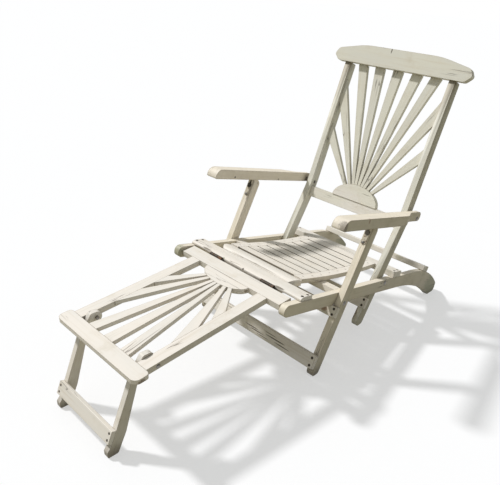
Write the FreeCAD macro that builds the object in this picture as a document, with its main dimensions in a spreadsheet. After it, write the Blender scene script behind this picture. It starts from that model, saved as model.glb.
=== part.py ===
import FreeCAD, Part
import Sketcher
import math
import os
from types import SimpleNamespace

V = FreeCAD.Vector

# Folding wooden deck chair with a slatted seat, a sunburst back and a sunburst footrest.
# X runs across the chair, Y from the footrest to the tail, Z up. The floor is z = 0 and the
# origin lies under the middle of the chair. Lengths are millimetres, angles are degrees.

SIZES = {
    # Where the middle of the chair lies on the length scale of the drawings below
    "origin_setback": 129.4,
    # Seat frame: two long side rails that slope down to the floor behind the sitter
    "rail_gap": 470.0,
    "rail_thickness": 22.5,
    "rail_height": 306.9,
    "rail_slope": 10.77,
    "rail_nose": 153.8,
    "rail_depth_front": 40.0,
    "rail_taper": 0.6,
    "nose_radius": 19.0,
    "tail_reach": 949.0,
    "tail_tip_height": 38.0,
    "tail_foot": 62.0,
    "tail_top_angle": 46.6,
    "tail_under_angle": 38.5,
    "tail_tip_straight": 6.08,
    "tail_tip_radius": 10.0,
    "tail_heel_radius": 18.0,
    "tail_heel_setback": 3.0,
    "tail_foot_straight": 2.92,
    # Boards across the seat frame
    "front_board_station": 78.0,
    "front_board_width": 58.0,
    "front_board_thickness": 14.0,
    "front_board_inset": 3.5,
    "front_board_nose_radius": 9.0,
    "bearer_width": 100.0,
    "bearer_thickness": 16.0,
    "bearer_margin": 12.0,
    "under_rail_station": 156.0,
    "under_rail_width": 38.0,
    "under_rail_thickness": 22.0,
    "rear_bar_width": 55.0,
    "board_corner_radius": 4.0,
    "tail_bar_width": 45.0,
    "tail_bar_thickness": 23.0,
    "tail_bar_slope": 23.0,
    # Seat panel
    "seat_width": 336.0,
    "seat_height": 24.0,
    "seat_sag": 10.0,
    "seat_front_width": 54.0,
    "seat_corner_radius": 25.0,
    "seat_roll_radius": 12.0,
    "seat_rail_width": 36.0,
    "seat_rail_depth": 16.0,
    "slat_width": 47.0,
    "slat_gap": 6.7,
    "slat_thickness": 12.0,
    "slat_tenon": 26.0,
    "slat_tenon_thickness": 5.0,
    "slat_tenon_width": 35.0,
    "slat_end_gap": 3.2,
    "slat_tenon_sink": 0.5,
    # Folding pivots: a parallelogram of rail, leg, arm and post
    "front_pivot_station": 146.4,
    "front_pivot_drop": 31.1,
    "rear_pivot_station": 459.2,
    "rear_pivot_drop": 11.3,
    "link_reach": 114.5,
    "link_rise": 240.0,
    "side_gap": 0.4,
    "rail_bolt": 8.0,
    "arm_bolt": 6.0,
    "bolt_clearance": 0.04,
    "bolt_head_radius": 9.0,
    "bolt_head_height": 4.0,
    "arm_bolt_head_radius": 8.0,
    "foot_bolt_head_radius": 7.0,
    "nut_radius": 6.5,
    "small_nut_radius": 5.5,
    "nut_height": 6.0,
    # Back posts
    "post_thickness": 23.0,
    "post_depth": 43.0,
    "post_pivot_setback": 30.7,
    "post_lower_lean": 28.0,
    "post_upper_lean": 17.1,
    "post_knee_distance": 252.1,
    "post_knee_radius": 260.0,
    "post_foot_height": 44.0,
    "post_foot_front_radius": 9.0,
    "post_foot_rear_radius": 18.0,
    "post_top_radius": 6.0,
    "post_length": 508.5,
    "post_tenon_length": 30.0,
    "post_tenon_thickness": 10.0,
    "post_tenon_inset": 3.0,
    "post_tenon_shoulder": 4.0,
    # Back panel: crest rail, sun rail, half disc and nine rays
    "crest_proud": 8.0,
    "crest_thickness": 24.0,
    "crest_height": 72.0,
    "crest_overhang": 56.4,
    "crest_low_cut": 23.0,
    "crest_low_radius": 16.0,
    "crest_tip_rise": 23.0,
    "crest_tip_radius": 12.0,
    "crest_high_cut": 15.0,
    "crest_tip_fall": 23.8,
    "crest_high_radius": 20.0,
    "crest_shoulder": 131.0,
    "crest_shoulder_radius": 350.0,
    "sun_rail_station": 51.5,
    "sun_rail_width": 42.5,
    "sun_rail_thickness": 22.0,
    "ray_recess": 11.0,
    "ray_thickness": 14.0,
    "ray_inner_width": 12.5,
    "ray_outer_width": 40.0,
    "ray_focus_drop": 39.5,
    "ray_near_place": 80.0,
    "ray_far_place": 156.5,
    "post_ray_low_drop": 275.0,
    "post_ray_low_half": 29.0,
    "post_ray_high_drop": 110.0,
    "post_ray_high_half": 45.0,
    "disc_half_width": 103.0,
    "disc_height": 64.0,
    "disc_thickness": 20.0,
    "disc_proud": 3.0,
    # Stretcher low between the back posts
    "rear_stretcher_width": 44.0,
    "rear_stretcher_thickness": 20.0,
    "rear_stretcher_distance": 124.0,
    "stretcher_screw_inset": 10.5,
    # Front legs with their stretcher and stop bar
    "leg_thickness": 23.4,
    "leg_depth": 41.0,
    "leg_lean": 23.9,
    "leg_front_toe": 10.0,
    "leg_rear_toe": 14.0,
    "leg_shoulder_radius": 19.0,
    "stretcher_width": 48.0,
    "stretcher_thickness": 20.0,
    "stretcher_height": 26.0,
    "stop_bar_width": 38.0,
    "stop_bar_thickness": 18.0,
    "stop_bar_proud": 10.0,
    "stop_bar_clearance": 0.3,
    "stop_screw_inset": 9.0,
    # Arms
    "arm_width": 46.5,
    "arm_inset": 3.4,
    "arm_thickness": 35.0,
    "arm_slope": 11.2,
    "arm_front": 238.0,
    "arm_rear": 335.0,
    "arm_nose_radius": 29.0,
    "arm_end_radius": 16.0,
    "arm_nose_under_radius": 6.0,
    "arm_leg_gap": 0.4,
    "arm_tongue_width": 16.5,
    "arm_taper_start": 176.0,
    "arm_taper_length": 72.0,
    "arm_taper_radius": 55.0,
    "hinge_drop": 12.8,
    "hinge_plate_length": 56.0,
    "hinge_plate_width": 20.0,
    "hinge_plate_thickness": 3.0,
    "hinge_tongue_width": 18.0,
    "hinge_tongue_thickness": 4.0,
    "hinge_slot_gap": 0.3,
    "spacer_radius": 10.0,
    "strap_length": 44.0,
    "strap_width": 17.0,
    "strap_thickness": 2.5,
    "strap_setback": 4.0,
    "strap_screw_top_inset": 13.0,
    "strap_screw_low_inset": 10.0,
    # Footrest
    "footrest_slope": 5.8,
    "hinge_radius": 6.0,
    "hinge_pin": 5.0,
    "hinge_station": 84.0,
    "hinge_height": 4.3,
    "footrest_above_hinge": 1.1,
    "footrest_reach": 514.6,
    "footrest_board_width": 49.0,
    "footrest_board_overhang": 17.3,
    "footrest_board_rear_radius": 12.0,
    "footrest_board_thickness": 14.0,
    "footrest_board_radius": 20.0,
    "footrest_rear_width": 55.0,
    "footrest_side_clearance": 10.0,
    "footrest_rear_thickness": 22.0,
    "footrest_rail_outer": 174.7,
    "footrest_rail_width": 39.0,
    "footrest_rail_depth": 19.5,
    "footrest_tongue": 31.0,
    "footrest_disc_half_width": 96.0,
    "footrest_disc_height": 52.0,
    "footrest_disc_thickness": 18.0,
    "footrest_ray_thickness": 13.0,
    "footrest_ray_inner_width": 13.0,
    "footrest_focus_setback": 17.0,
    "footrest_ray_pitch": 78.0,
    "footrest_ray_middle_half": 20.5,
    "footrest_ray_next_half": 18.0,
    "footrest_ray_far_half": 49.5,
    "footrest_ray_near_half": 28.0,
    # Footrest legs
    "foot_leg_thickness": 17.5,
    "foot_leg_gap": 0.5,
    "foot_pivot_setback": 37.6,
    "foot_pivot_drop": 10.5,
    "foot_bolt": 6.0,
    "lug_radius": 18.0,
    "foot_leg_front_lean": 19.6,
    "foot_leg_rear_lean": 14.5,
    "foot_shin_setback": 57.0,
    "foot_shin_drop": 50.0,
    "foot_shin_bend": 28.0,
    "foot_shin_radius": 24.0,
    "foot_calf_setback": 36.0,
    "foot_calf_drop": 60.0,
    "foot_calf_height": 62.0,
    "foot_calf_radius": 70.0,
    "foot_kick": 13.0,
    "foot_kick_height": 20.0,
    "foot_kick_drop": 6.0,
    "foot_heel_kick": 26.0,
    "foot_stretcher_width": 42.0,
    "foot_stretcher_thickness": 14.0,
    "foot_stretcher_height": 43.0,
    # Leaves of the two footrest hinges
    "leaf_length": 56.0,
    "leaf_width": 20.0,
    "leaf_thickness": 2.5,
    "leaf_place": 120.0,
    "knuckle_length": 18.0,
    "knuckle_gap": 0.5,
    # Wood screws
    "screw_head": 9.0,
    "screw_head_depth": 3.0,
    "screw_shank": 4.0,
    "screw_length": 30.0,
    "screw_end_gap": 0.2,
    "long_screw_length": 38.0,
    "screw_clearance": 0.05,
    "frame_screw_inset": 15.0,
    "tail_screw_spread": 9.0,
    "small_head": 7.0,
    "small_shank": 3.5,
    "small_screw_length": 29.0,
    "strap_screw_length": 16.0,
    "strap_screw_head_depth": 2.0,
    "strap_screw_proud": 1.5,
    "slat_pin": 6.0,
    "slat_pin_length": 13.0,
    "slat_pin_sink": 0.6,
    "fit": 0.05,
    "edge_radius": 2.0,
    "run_out": 5.0,
}

D = SimpleNamespace(**SIZES)

doc = FreeCAD.newDocument("deck_chair")
sheet = doc.addObject("Spreadsheet::Sheet", "Sizes")
for row, (name, value) in enumerate(SIZES.items(), start=1):
    sheet.set(f"A{row}", name)
    sheet.set(f"B{row}", str(value))
    sheet.setAlias(f"B{row}", name)
doc.recompute()

LEFT, RIGHT = -1, 1
SIDES = (("left", LEFT), ("right", RIGHT))
subparts = []


# Drawing helpers

class Frame:
    """A tilted drawing plane of the chair: s runs along the slope and t is square to it."""

    def __init__(self, origin, angle):
        self.origin = origin
        self.angle = angle
        turn = math.radians(angle)
        self.along = V(math.cos(turn), math.sin(turn), 0)
        self.across = V(-math.sin(turn), math.cos(turn), 0)

    def point(self, s, t=0.0):
        """The side-view point (y, z) of a place in this frame."""
        return self.origin + self.along * s + self.across * t

    def local(self, point):
        """The place (s, t) in this frame of a side-view point."""
        offset = point - self.origin
        return V(offset.dot(self.along), offset.dot(self.across), 0)

    def placement(self):
        base = V(0, self.origin.x - D.origin_setback, self.origin.y)
        return FreeCAD.Placement(base, FreeCAD.Rotation(V(1, 0, 0), self.angle))


def heading(angle):
    turn = math.radians(angle)
    return V(math.cos(turn), math.sin(turn), 0)


def crossing(start, direction, other, other_direction):
    """Where two straight lines of a drawing meet."""
    gap = other - start
    area = direction.x * other_direction.y - direction.y * other_direction.x
    reach = (gap.x * other_direction.y - gap.y * other_direction.x) / area
    return start + direction * reach


def corner_arc(before, corner, after, radius):
    """Tangent points and centre of the arc that rounds a corner."""
    to_before = (before - corner).normalize()
    to_after = (after - corner).normalize()
    half = math.acos(max(-1.0, min(1.0, to_before.dot(to_after)))) / 2
    reach = radius / math.tan(half)
    centre = corner + (to_before + to_after).normalize() * (radius / math.sin(half))
    return corner + to_before * reach, corner + to_after * reach, centre


def sweeping_radius(before, corner, after, straight):
    """Radius of the arc that rounds a corner and leaves a straight stretch up to the point after it."""
    half = (before - corner).getAngle(after - corner) / 2
    return ((after - corner).Length - straight) * math.tan(half)


def outline(corners):
    """Closed outline through corners (point, radius); a radius of 0 leaves a corner sharp."""
    points = [V(x, y, 0) for x, y, radius in corners]
    radii = [radius for x, y, radius in corners]
    count = len(points)
    starts, ends, arcs = [], [], []
    for i in range(count):
        if radii[i] > 0:
            first, last, centre = corner_arc(points[i - 1], points[i], points[(i + 1) % count], radii[i])
            middle = centre + (points[i] - centre).normalize() * radii[i]
            arcs.append(Part.Arc(first, middle, last))
        else:
            first, last = points[i], points[i]
        starts.append(first)
        ends.append(last)
    edges = list(arcs)
    for i in range(count):
        following = starts[(i + 1) % count]
        if (following - ends[i]).Length > 1e-4:
            edges.append(Part.LineSegment(ends[i], following))
    return edges


def rectangle(x0, x1, y0, y1):
    return outline([(x0, y0, 0), (x1, y0, 0), (x1, y1, 0), (x0, y1, 0)])


def body(label, frame):
    piece = doc.addObject("PartDesign::Body", label)
    piece.Label = label
    piece.AllowCompound = True
    piece.Placement = frame.placement()
    subparts.append(piece)
    return piece


def sketch(piece, plane, edges, offset=None):
    drawing = piece.newObject("Sketcher::SketchObject", piece.Label + "_sketch")
    origin = {item.Role: item for item in piece.Origin.OriginFeatures}
    drawing.AttachmentSupport = (origin[plane], [""])
    drawing.MapMode = "FlatFace"
    if isinstance(offset, (int, float)):
        offset = FreeCAD.Placement(V(0, 0, offset), FreeCAD.Rotation())
    if offset:
        drawing.AttachmentOffset = offset
    drawing.addGeometry(edges, False)
    return drawing


def pad(piece, drawing, length, symmetric=False, reverse=False):
    """Adds material; the length is an expression on the sheet."""
    feature = piece.newObject("PartDesign::Pad", piece.Label + "_pad")
    feature.Profile = drawing
    feature.setExpression("Length", length)
    feature.SideType = "Symmetric" if symmetric else "One side"
    feature.Reversed = reverse
    feature.Refine = False
    return feature


def pocket(piece, drawing, length=None, reverse=False):
    """Removes material against the drawing's normal, or right through without a length."""
    feature = piece.newObject("PartDesign::Pocket", piece.Label + "_pocket")
    feature.Profile = drawing
    if length is None:
        feature.Type = "ThroughAll"
        feature.SideType = "Symmetric"
    else:
        feature.setExpression("Length", length)
        feature.Reversed = reverse
    feature.Refine = False
    return feature


def holes(piece, plane, centres, radius, length=None, offset=None, reverse=False):
    """Round holes whose radius is bound to the sheet."""
    drawing = sketch(piece, plane, [], offset)
    for x, y in centres:
        hole = drawing.addGeometry(Part.Circle(V(x, y, 0), V(0, 0, 1), 1.0), False)
        limit = drawing.addConstraint(Sketcher.Constraint("Radius", hole, 1.0))
        drawing.setExpression(f"Constraints[{limit}]", radius)
    return pocket(piece, drawing, length, reverse)


def cross_board(label, frame, corners, length):
    """A board that runs across the chair, drawn as its section."""
    piece = body(label, frame)
    pad(piece, sketch(piece, "YZ_Plane", outline(corners)), length, symmetric=True)
    return piece


def side_board(label, frame, side, inner, corners, thickness):
    """A board along the chair whose inner face stands at a distance from the middle."""
    piece = body(label, frame)
    pad(piece, sketch(piece, "YZ_Plane", outline(corners), side * inner), thickness, reverse=side == LEFT)
    return piece


def half_ellipse(half_width, base, height):
    """Half disc on a straight base; a negative height points it the other way."""
    ellipse = Part.Ellipse(V(0, base, 0), half_width, abs(height))
    start = 0 if height > 0 else math.pi
    arc = Part.ArcOfEllipse(ellipse, start, start + math.pi)
    return [arc, Part.LineSegment(arc.EndPoint, arc.StartPoint)]


def ray_corners(focus, target, edge, rim, inner_width, outer_half):
    """Corners of a tapered ray from the rim of the half disc to a straight edge.

    The edge is given by a direction through the target; outer_half is measured along it.
    The inner end is straight, along the rim's tangent and just clear of it.
    """
    half_width, base, height = rim
    line = (target - focus).normalize()
    start = V(focus.x, focus.y - base, 0)
    a = (line.x / half_width) ** 2 + (line.y / height) ** 2
    b = 2 * (start.x * line.x / half_width ** 2 + start.y * line.y / height ** 2)
    c = (start.x / half_width) ** 2 + (start.y / height) ** 2 - 1
    reach = (-b + math.sqrt(b * b - 4 * a * c)) / (2 * a)
    hit = focus + line * reach
    slope = V((hit.x) / half_width ** 2, (hit.y - base) / height ** 2, 0).normalize()
    tangent = V(-slope.y, slope.x, 0)
    clear = hit + slope * D.fit
    square = V(-line.y, line.x, 0)
    corners = []
    for turn in (1, -1):
        outer = target + edge * (outer_half * turn)
        inner_aim = hit + square * (inner_width / 2 * turn)
        if (inner_aim - hit).dot(outer - target) < 0:
            inner_aim = hit - square * (inner_width / 2 * turn)
        inner = crossing(outer, inner_aim - outer, clear, tangent)
        corners.append((inner, outer))
    (inner_a, outer_a), (inner_b, outer_b) = corners
    return [(p.x, p.y, 0) for p in (inner_a, outer_a, outer_b, inner_b)]


def screw(head_radius, head_depth, shank_radius, length):
    """Flat-headed screw that points down, its head's top at the origin."""
    head = Part.makeCylinder(head_radius, head_depth, V(0, 0, -head_depth))
    shank = Part.makeCylinder(shank_radius, length - head_depth, V(0, 0, -length))
    return head.fuse(shank).removeSplitter()


def fastener_group(label, frame, pieces):
    """Like fasteners that share one node, each a solid of its own."""
    group = doc.addObject("Part::Feature", label)
    group.Label = label
    group.Shape = Part.makeCompound(pieces)
    group.Placement = frame.placement()
    subparts.append(group)
    return group


def moved(shape, position, rotation=None):
    copy = shape.copy()
    copy.Placement = FreeCAD.Placement(position, rotation or FreeCAD.Rotation())
    return copy


def screw_places(fastener, stations, across, top):
    """The same screw at each station on both sides of the chair."""
    return [moved(fastener, V(side * across, s, top)) for name, side in SIDES for s in stations]


def screw_holes(piece, stations, across, top):
    """Clearance holes with a seat for the head, straight down into a board."""
    centres = [(side * across, s) for name, side in SIDES for s in stations]
    holes(piece, "XY_Plane", centres, SHANK_HOLE, SCREW_REACH, top)
    holes(piece, "XY_Plane", centres, "Sizes.screw_head / 2 + Sizes.screw_clearance",
          "Sizes.screw_head_depth", top)


# Main lines of the chair in side view

SHANK_HOLE = "Sizes.screw_shank / 2 + Sizes.screw_clearance"
SMALL_SHANK_HOLE = "Sizes.small_shank / 2 + Sizes.screw_clearance"
PIN_HOLE = "Sizes.slat_pin / 2 + Sizes.screw_clearance"
RAIL_BOLT_HOLE = "Sizes.rail_bolt / 2 + Sizes.bolt_clearance"
ARM_BOLT_HOLE = "Sizes.arm_bolt / 2 + Sizes.bolt_clearance"
SCREW_REACH = "Sizes.screw_length + Sizes.screw_end_gap"
LONG_SCREW_REACH = "Sizes.long_screw_length + Sizes.screw_end_gap"
TAIL_SCREW_REACH = "Sizes.long_screw_length - Sizes.tail_bar_thickness + 2 * Sizes.screw_end_gap"
STRAP_SCREW_REACH = "Sizes.strap_screw_length + Sizes.screw_end_gap"
SMALL_SCREW_REACH = "Sizes.small_screw_length - Sizes.foot_stretcher_thickness + Sizes.screw_end_gap"

rail_inner = D.rail_gap / 2
rail_outer = rail_inner + D.rail_thickness
rail_middle = (rail_inner + rail_outer) / 2
post_outer = rail_inner - D.side_gap
post_inner = post_outer - D.post_thickness
leg_inner = rail_outer + D.side_gap
leg_outer = leg_inner + D.leg_thickness
leg_middle = (leg_inner + leg_outer) / 2
foot_leg_outer = D.footrest_rail_outer - D.footrest_rail_width - D.foot_leg_gap
foot_leg_inner = foot_leg_outer - D.foot_leg_thickness
arm_inner = leg_inner - D.arm_inset
arm_tongue_outer = arm_inner + D.arm_tongue_width

seat_frame = Frame(V(0, D.rail_height, 0), -D.rail_slope)
front_pivot = seat_frame.point(D.front_pivot_station, -D.front_pivot_drop)
rear_pivot = seat_frame.point(D.rear_pivot_station, -D.rear_pivot_drop)
link = V(D.link_reach, D.link_rise, 0)
leg_hinge = front_pivot + link
arm_pivot = rear_pivot + link

post_frame = Frame(rear_pivot, 90 - D.post_lower_lean)
knee = post_frame.point(D.post_knee_distance, D.post_pivot_setback)
back_frame = Frame(knee, 90 - D.post_upper_lean)
leg_frame = Frame(front_pivot, 90 - D.leg_lean)
arm_frame = Frame(leg_hinge + Frame(leg_hinge, -D.arm_slope).across * D.hinge_drop, -D.arm_slope)
hinge_axis = seat_frame.point(-D.hinge_station, D.hinge_height)
footrest_tilt = Frame(hinge_axis, D.footrest_slope)
footrest_frame = Frame(footrest_tilt.point(0, D.footrest_above_hinge), D.footrest_slope)
foot_pivot_distance = D.footrest_reach - D.foot_pivot_setback
lug_pivot = footrest_frame.point(-foot_pivot_distance, -D.foot_pivot_drop)
upright_frame = Frame(V(0, 0, 0), 0)

wood_screw = screw(D.screw_head / 2, D.screw_head_depth, D.screw_shank / 2, D.screw_length)
long_screw = screw(D.screw_head / 2, D.screw_head_depth, D.screw_shank / 2, D.long_screw_length)


# Seat frame

def rail_corners():
    """Side rail in side view: round nose, straight run and a tail that curves down to a foot."""
    under = D.rail_slope + D.rail_taper
    nose_top = seat_frame.point(-D.rail_nose, 0)
    nose_under = seat_frame.point(-D.rail_nose, -D.rail_depth_front)
    tip = V(D.tail_reach, D.tail_tip_height, 0)
    foot_front = V(D.tail_reach - D.tail_foot, 0, 0)
    crown = crossing(nose_top, heading(-D.rail_slope), tip, heading(-D.tail_top_angle))
    arch = crossing(nose_under, heading(-under), foot_front, heading(-D.tail_under_angle))
    return [
        (nose_under, D.nose_radius),
        (nose_top, D.nose_radius),
        (crown, sweeping_radius(nose_top, crown, tip, D.tail_tip_straight)),
        (tip, D.tail_tip_radius),
        (V(D.tail_reach - D.tail_heel_setback, 0, 0), D.tail_heel_radius),
        (foot_front, 0),
        (arch, sweeping_radius(nose_under, arch, foot_front, D.tail_foot_straight)),
    ]


def local_corners(frame, places):
    found = [(frame.local(point), radius) for point, radius in places]
    return [(point.x, point.y, radius) for point, radius in found]


rail_places = rail_corners()
crown_radius = rail_places[2][1]
crown_arc = corner_arc(rail_places[1][0], rail_places[2][0], rail_places[3][0], crown_radius)
crown_centre = crown_arc[2]
tail_bar_seat = crown_centre + Frame(V(), -D.tail_bar_slope).across * crown_radius
tail_bar_frame = Frame(tail_bar_seat, -D.tail_bar_slope)

seat_front = D.front_board_width - D.front_board_station
front_board_screws = (D.frame_screw_inset - D.front_board_station, seat_front - D.frame_screw_inset)
slat_zone_start = seat_front + D.seat_front_width
slat_pitch = D.slat_width + D.slat_gap
slat_count = 9
rear_bar_start = slat_zone_start + slat_count * slat_pitch + D.slat_end_gap
rear_bar_end = rear_bar_start + D.rear_bar_width
rear_bar_screws = (rear_bar_start + D.frame_screw_inset, rear_bar_end - D.frame_screw_inset)
tail_bar_screws = (-D.tail_screw_spread, D.tail_screw_spread)
tail_bar_place = seat_frame.local(tail_bar_seat)
tail_bar_turn = FreeCAD.Rotation(V(1, 0, 0), D.rail_slope - D.tail_bar_slope)


def make_side_rails():
    for name, side in SIDES:
        rail = side_board("side_rail_" + name, seat_frame, side, rail_inner,
                          local_corners(seat_frame, rail_places), "Sizes.rail_thickness")
        pivots = [(D.front_pivot_station, -D.front_pivot_drop), (D.rear_pivot_station, -D.rear_pivot_drop)]
        holes(rail, "YZ_Plane", pivots, RAIL_BOLT_HOLE)
        sunk = [(side * rail_middle, s) for s in front_board_screws]
        holes(rail, "XY_Plane", sunk, SHANK_HOLE, SCREW_REACH, D.front_board_thickness)
        sunk = [(side * rail_middle, s) for s in rear_bar_screws]
        holes(rail, "XY_Plane", sunk, SHANK_HOLE, LONG_SCREW_REACH, D.seat_height)
        tilt = FreeCAD.Placement(V(0, tail_bar_place.x, tail_bar_place.y), tail_bar_turn)
        sunk = [(side * rail_middle, s) for s in tail_bar_screws]
        holes(rail, "XY_Plane", sunk, SHANK_HOLE, TAIL_SCREW_REACH, tilt)


def make_frame_boards():
    start, end = -D.front_board_station, seat_front
    thick = D.front_board_thickness
    small = D.edge_radius
    corners = [(start, 0, small), (start, thick, D.front_board_nose_radius), (end, thick, small), (end, 0, 0)]
    length = "Sizes.rail_gap + 2 * (Sizes.rail_thickness - Sizes.front_board_inset)"
    board = cross_board("front_cross_board", seat_frame, corners, length)
    screw_holes(board, front_board_screws, rail_middle, thick)

    end = start + D.bearer_width
    corners = [(start, -D.bearer_thickness, 0), (start, 0, 0), (end, 0, 0), (end, -D.bearer_thickness, 0)]
    length = "2 * (Sizes.leaf_place + Sizes.leaf_length / 2 + Sizes.bearer_margin)"
    cross_board("front_bearer", seat_frame, corners, length)

    start = D.under_rail_station - D.under_rail_width / 2
    end = start + D.under_rail_width
    top = min(seat_rail_bottom(start), seat_rail_bottom(end)) - D.fit
    low = top - D.under_rail_thickness
    corners = [(start, low, small), (start, top, 0), (end, top, 0), (end, low, small)]
    cross_board("under_seat_rail", seat_frame, corners, "Sizes.rail_gap")

    start, end, round_corner = rear_bar_start, rear_bar_end, D.board_corner_radius
    corners = [(start, 0, 0), (start, D.seat_height, small), (end, D.seat_height, round_corner), (end, 0, 0)]
    bar = cross_board("rear_cross_bar", seat_frame, corners, "Sizes.rail_gap + 2 * Sizes.rail_thickness")
    screw_holes(bar, rear_bar_screws, rail_middle, D.seat_height)

    half, thick = D.tail_bar_width / 2, D.tail_bar_thickness
    corners = [(-half, D.fit, small), (-half, thick, round_corner),
               (half, thick, round_corner), (half, D.fit, small)]
    bar = cross_board("tail_cross_bar", tail_bar_frame, corners, "Sizes.rail_gap + 2 * Sizes.rail_thickness")
    screw_holes(bar, tail_bar_screws, rail_middle, thick)


# Seat panel: a shallow hollow between the front rail and the rear cross bar

def seat_curve():
    """Centre and radius of the seat's hollow, through its two ends."""
    middle = (slat_zone_start + rear_bar_start) / 2
    half = (rear_bar_start - slat_zone_start) / 2
    radius = (half * half + D.seat_sag ** 2) / (2 * D.seat_sag)
    return V(middle, D.seat_height - D.seat_sag + radius, 0), radius


def seat_point(s, depth=0.0):
    """Place on the hollow, or on the curve a depth below it."""
    centre, radius = seat_curve()
    reach = radius + depth
    return V(s, centre.y - math.sqrt(reach * reach - (s - centre.x) ** 2), 0)


def seat_rail_bottom(s):
    return seat_point(s, D.seat_rail_depth).y


def make_seat_front_rail():
    start, end = seat_front + D.fit, slat_zone_start
    half = D.seat_width / 2
    corners = [(start, 0, D.edge_radius), (start, D.seat_height, D.seat_roll_radius),
               (end, D.seat_height, 0), (end, 0, 0)]
    rail = cross_board("seat_front_rail", seat_frame, corners, "Sizes.seat_width")
    radius = D.seat_corner_radius
    edges = []
    for name, side in SIDES:
        corner = V(side * half, start, 0)
        beyond = V(side * (half + D.run_out), start - D.run_out, 0)
        across, along = V(side * (half - radius), start, 0), V(side * half, start + radius, 0)
        centre = V(side * (half - radius), start + radius, 0)
        middle = centre + (corner - centre).normalize() * radius
        edges += [Part.Arc(across, middle, along),
                  Part.LineSegment(along, V(beyond.x, along.y, 0)),
                  Part.LineSegment(V(beyond.x, along.y, 0), beyond),
                  Part.LineSegment(beyond, V(across.x, beyond.y, 0)),
                  Part.LineSegment(V(across.x, beyond.y, 0), across)]
    pocket(rail, sketch(rail, "XY_Plane", edges))


def slat_corners(index, width, thickness, depth):
    """Section of a slat, or of its tenon, set square to the hollow."""
    middle = slat_zone_start + D.slat_gap + index * slat_pitch + D.slat_width / 2
    first, last = seat_point(middle - D.slat_width / 2), seat_point(middle + D.slat_width / 2)
    along = (last - first).normalize()
    down = V(along.y, -along.x, 0)
    centre = (first + last) * 0.5
    return [centre + along * (turn * width / 2) + down * drop
            for turn, drop in ((-1, depth), (1, depth), (1, depth + thickness), (-1, depth + thickness))]


def slat_outlines(width, thickness, depth, rounding=0):
    edges = []
    for index in range(slat_count):
        places = slat_corners(index, width, thickness, depth)
        radii = (rounding, rounding, 0, 0)
        edges += outline([(p.x, p.y, radius) for p, radius in zip(places, radii)])
    return edges


slat_pin_stations = [slat_zone_start + D.slat_gap + index * slat_pitch + D.slat_width / 2
                     for index in range(slat_count)]
slat_pin_across = D.seat_width / 2 - D.seat_rail_width / 2
tenon_depth = (D.slat_thickness - D.slat_tenon_thickness) / 2 + D.slat_tenon_sink


def make_seat_side_rails():
    for name, side in SIDES:
        start, end = seat_point(slat_zone_start), seat_point(rear_bar_start)
        centre, radius = seat_curve()
        low_end = seat_point(rear_bar_start, D.seat_rail_depth)
        low_start = seat_point(slat_zone_start, D.seat_rail_depth)
        top = Part.Arc(start, V(centre.x, centre.y - radius, 0), end)
        under = Part.Arc(low_end, V(centre.x, centre.y - radius - D.seat_rail_depth, 0), low_start)
        edges = [top, Part.LineSegment(end, low_end), under, Part.LineSegment(low_start, start)]
        rail = body("seat_side_rail_" + name, seat_frame)
        outer = side * D.seat_width / 2
        inner = side * (D.seat_width / 2 - D.seat_rail_width)
        pad(rail, sketch(rail, "YZ_Plane", edges, outer), "Sizes.seat_rail_width", reverse=side == RIGHT)
        mortises = slat_outlines(D.slat_tenon_width + 2 * D.fit, D.slat_tenon_thickness + 2 * D.fit,
                                 tenon_depth - D.fit)
        pocket(rail, sketch(rail, "YZ_Plane", mortises, inner), "Sizes.slat_tenon + Sizes.fit",
               reverse=side == RIGHT)
        centres = [(side * slat_pin_across, s) for s in slat_pin_stations]
        holes(rail, "XY_Plane", centres, PIN_HOLE)


def make_seat_slats():
    slats = body("seat_slats", seat_frame)
    pad(slats, sketch(slats, "YZ_Plane", slat_outlines(D.slat_width, D.slat_thickness, 0, D.edge_radius)),
        "Sizes.seat_width - 2 * Sizes.seat_rail_width", symmetric=True)
    tenons = slat_outlines(D.slat_tenon_width, D.slat_tenon_thickness, tenon_depth)
    pad(slats, sketch(slats, "YZ_Plane", tenons),
        "Sizes.seat_width - 2 * Sizes.seat_rail_width + 2 * Sizes.slat_tenon", symmetric=True)
    centres = [(side * slat_pin_across, s) for name, side in SIDES for s in slat_pin_stations]
    holes(slats, "XY_Plane", centres, PIN_HOLE)


# Back: posts, crest rail, sun rail, half disc, rays and low stretcher

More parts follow.
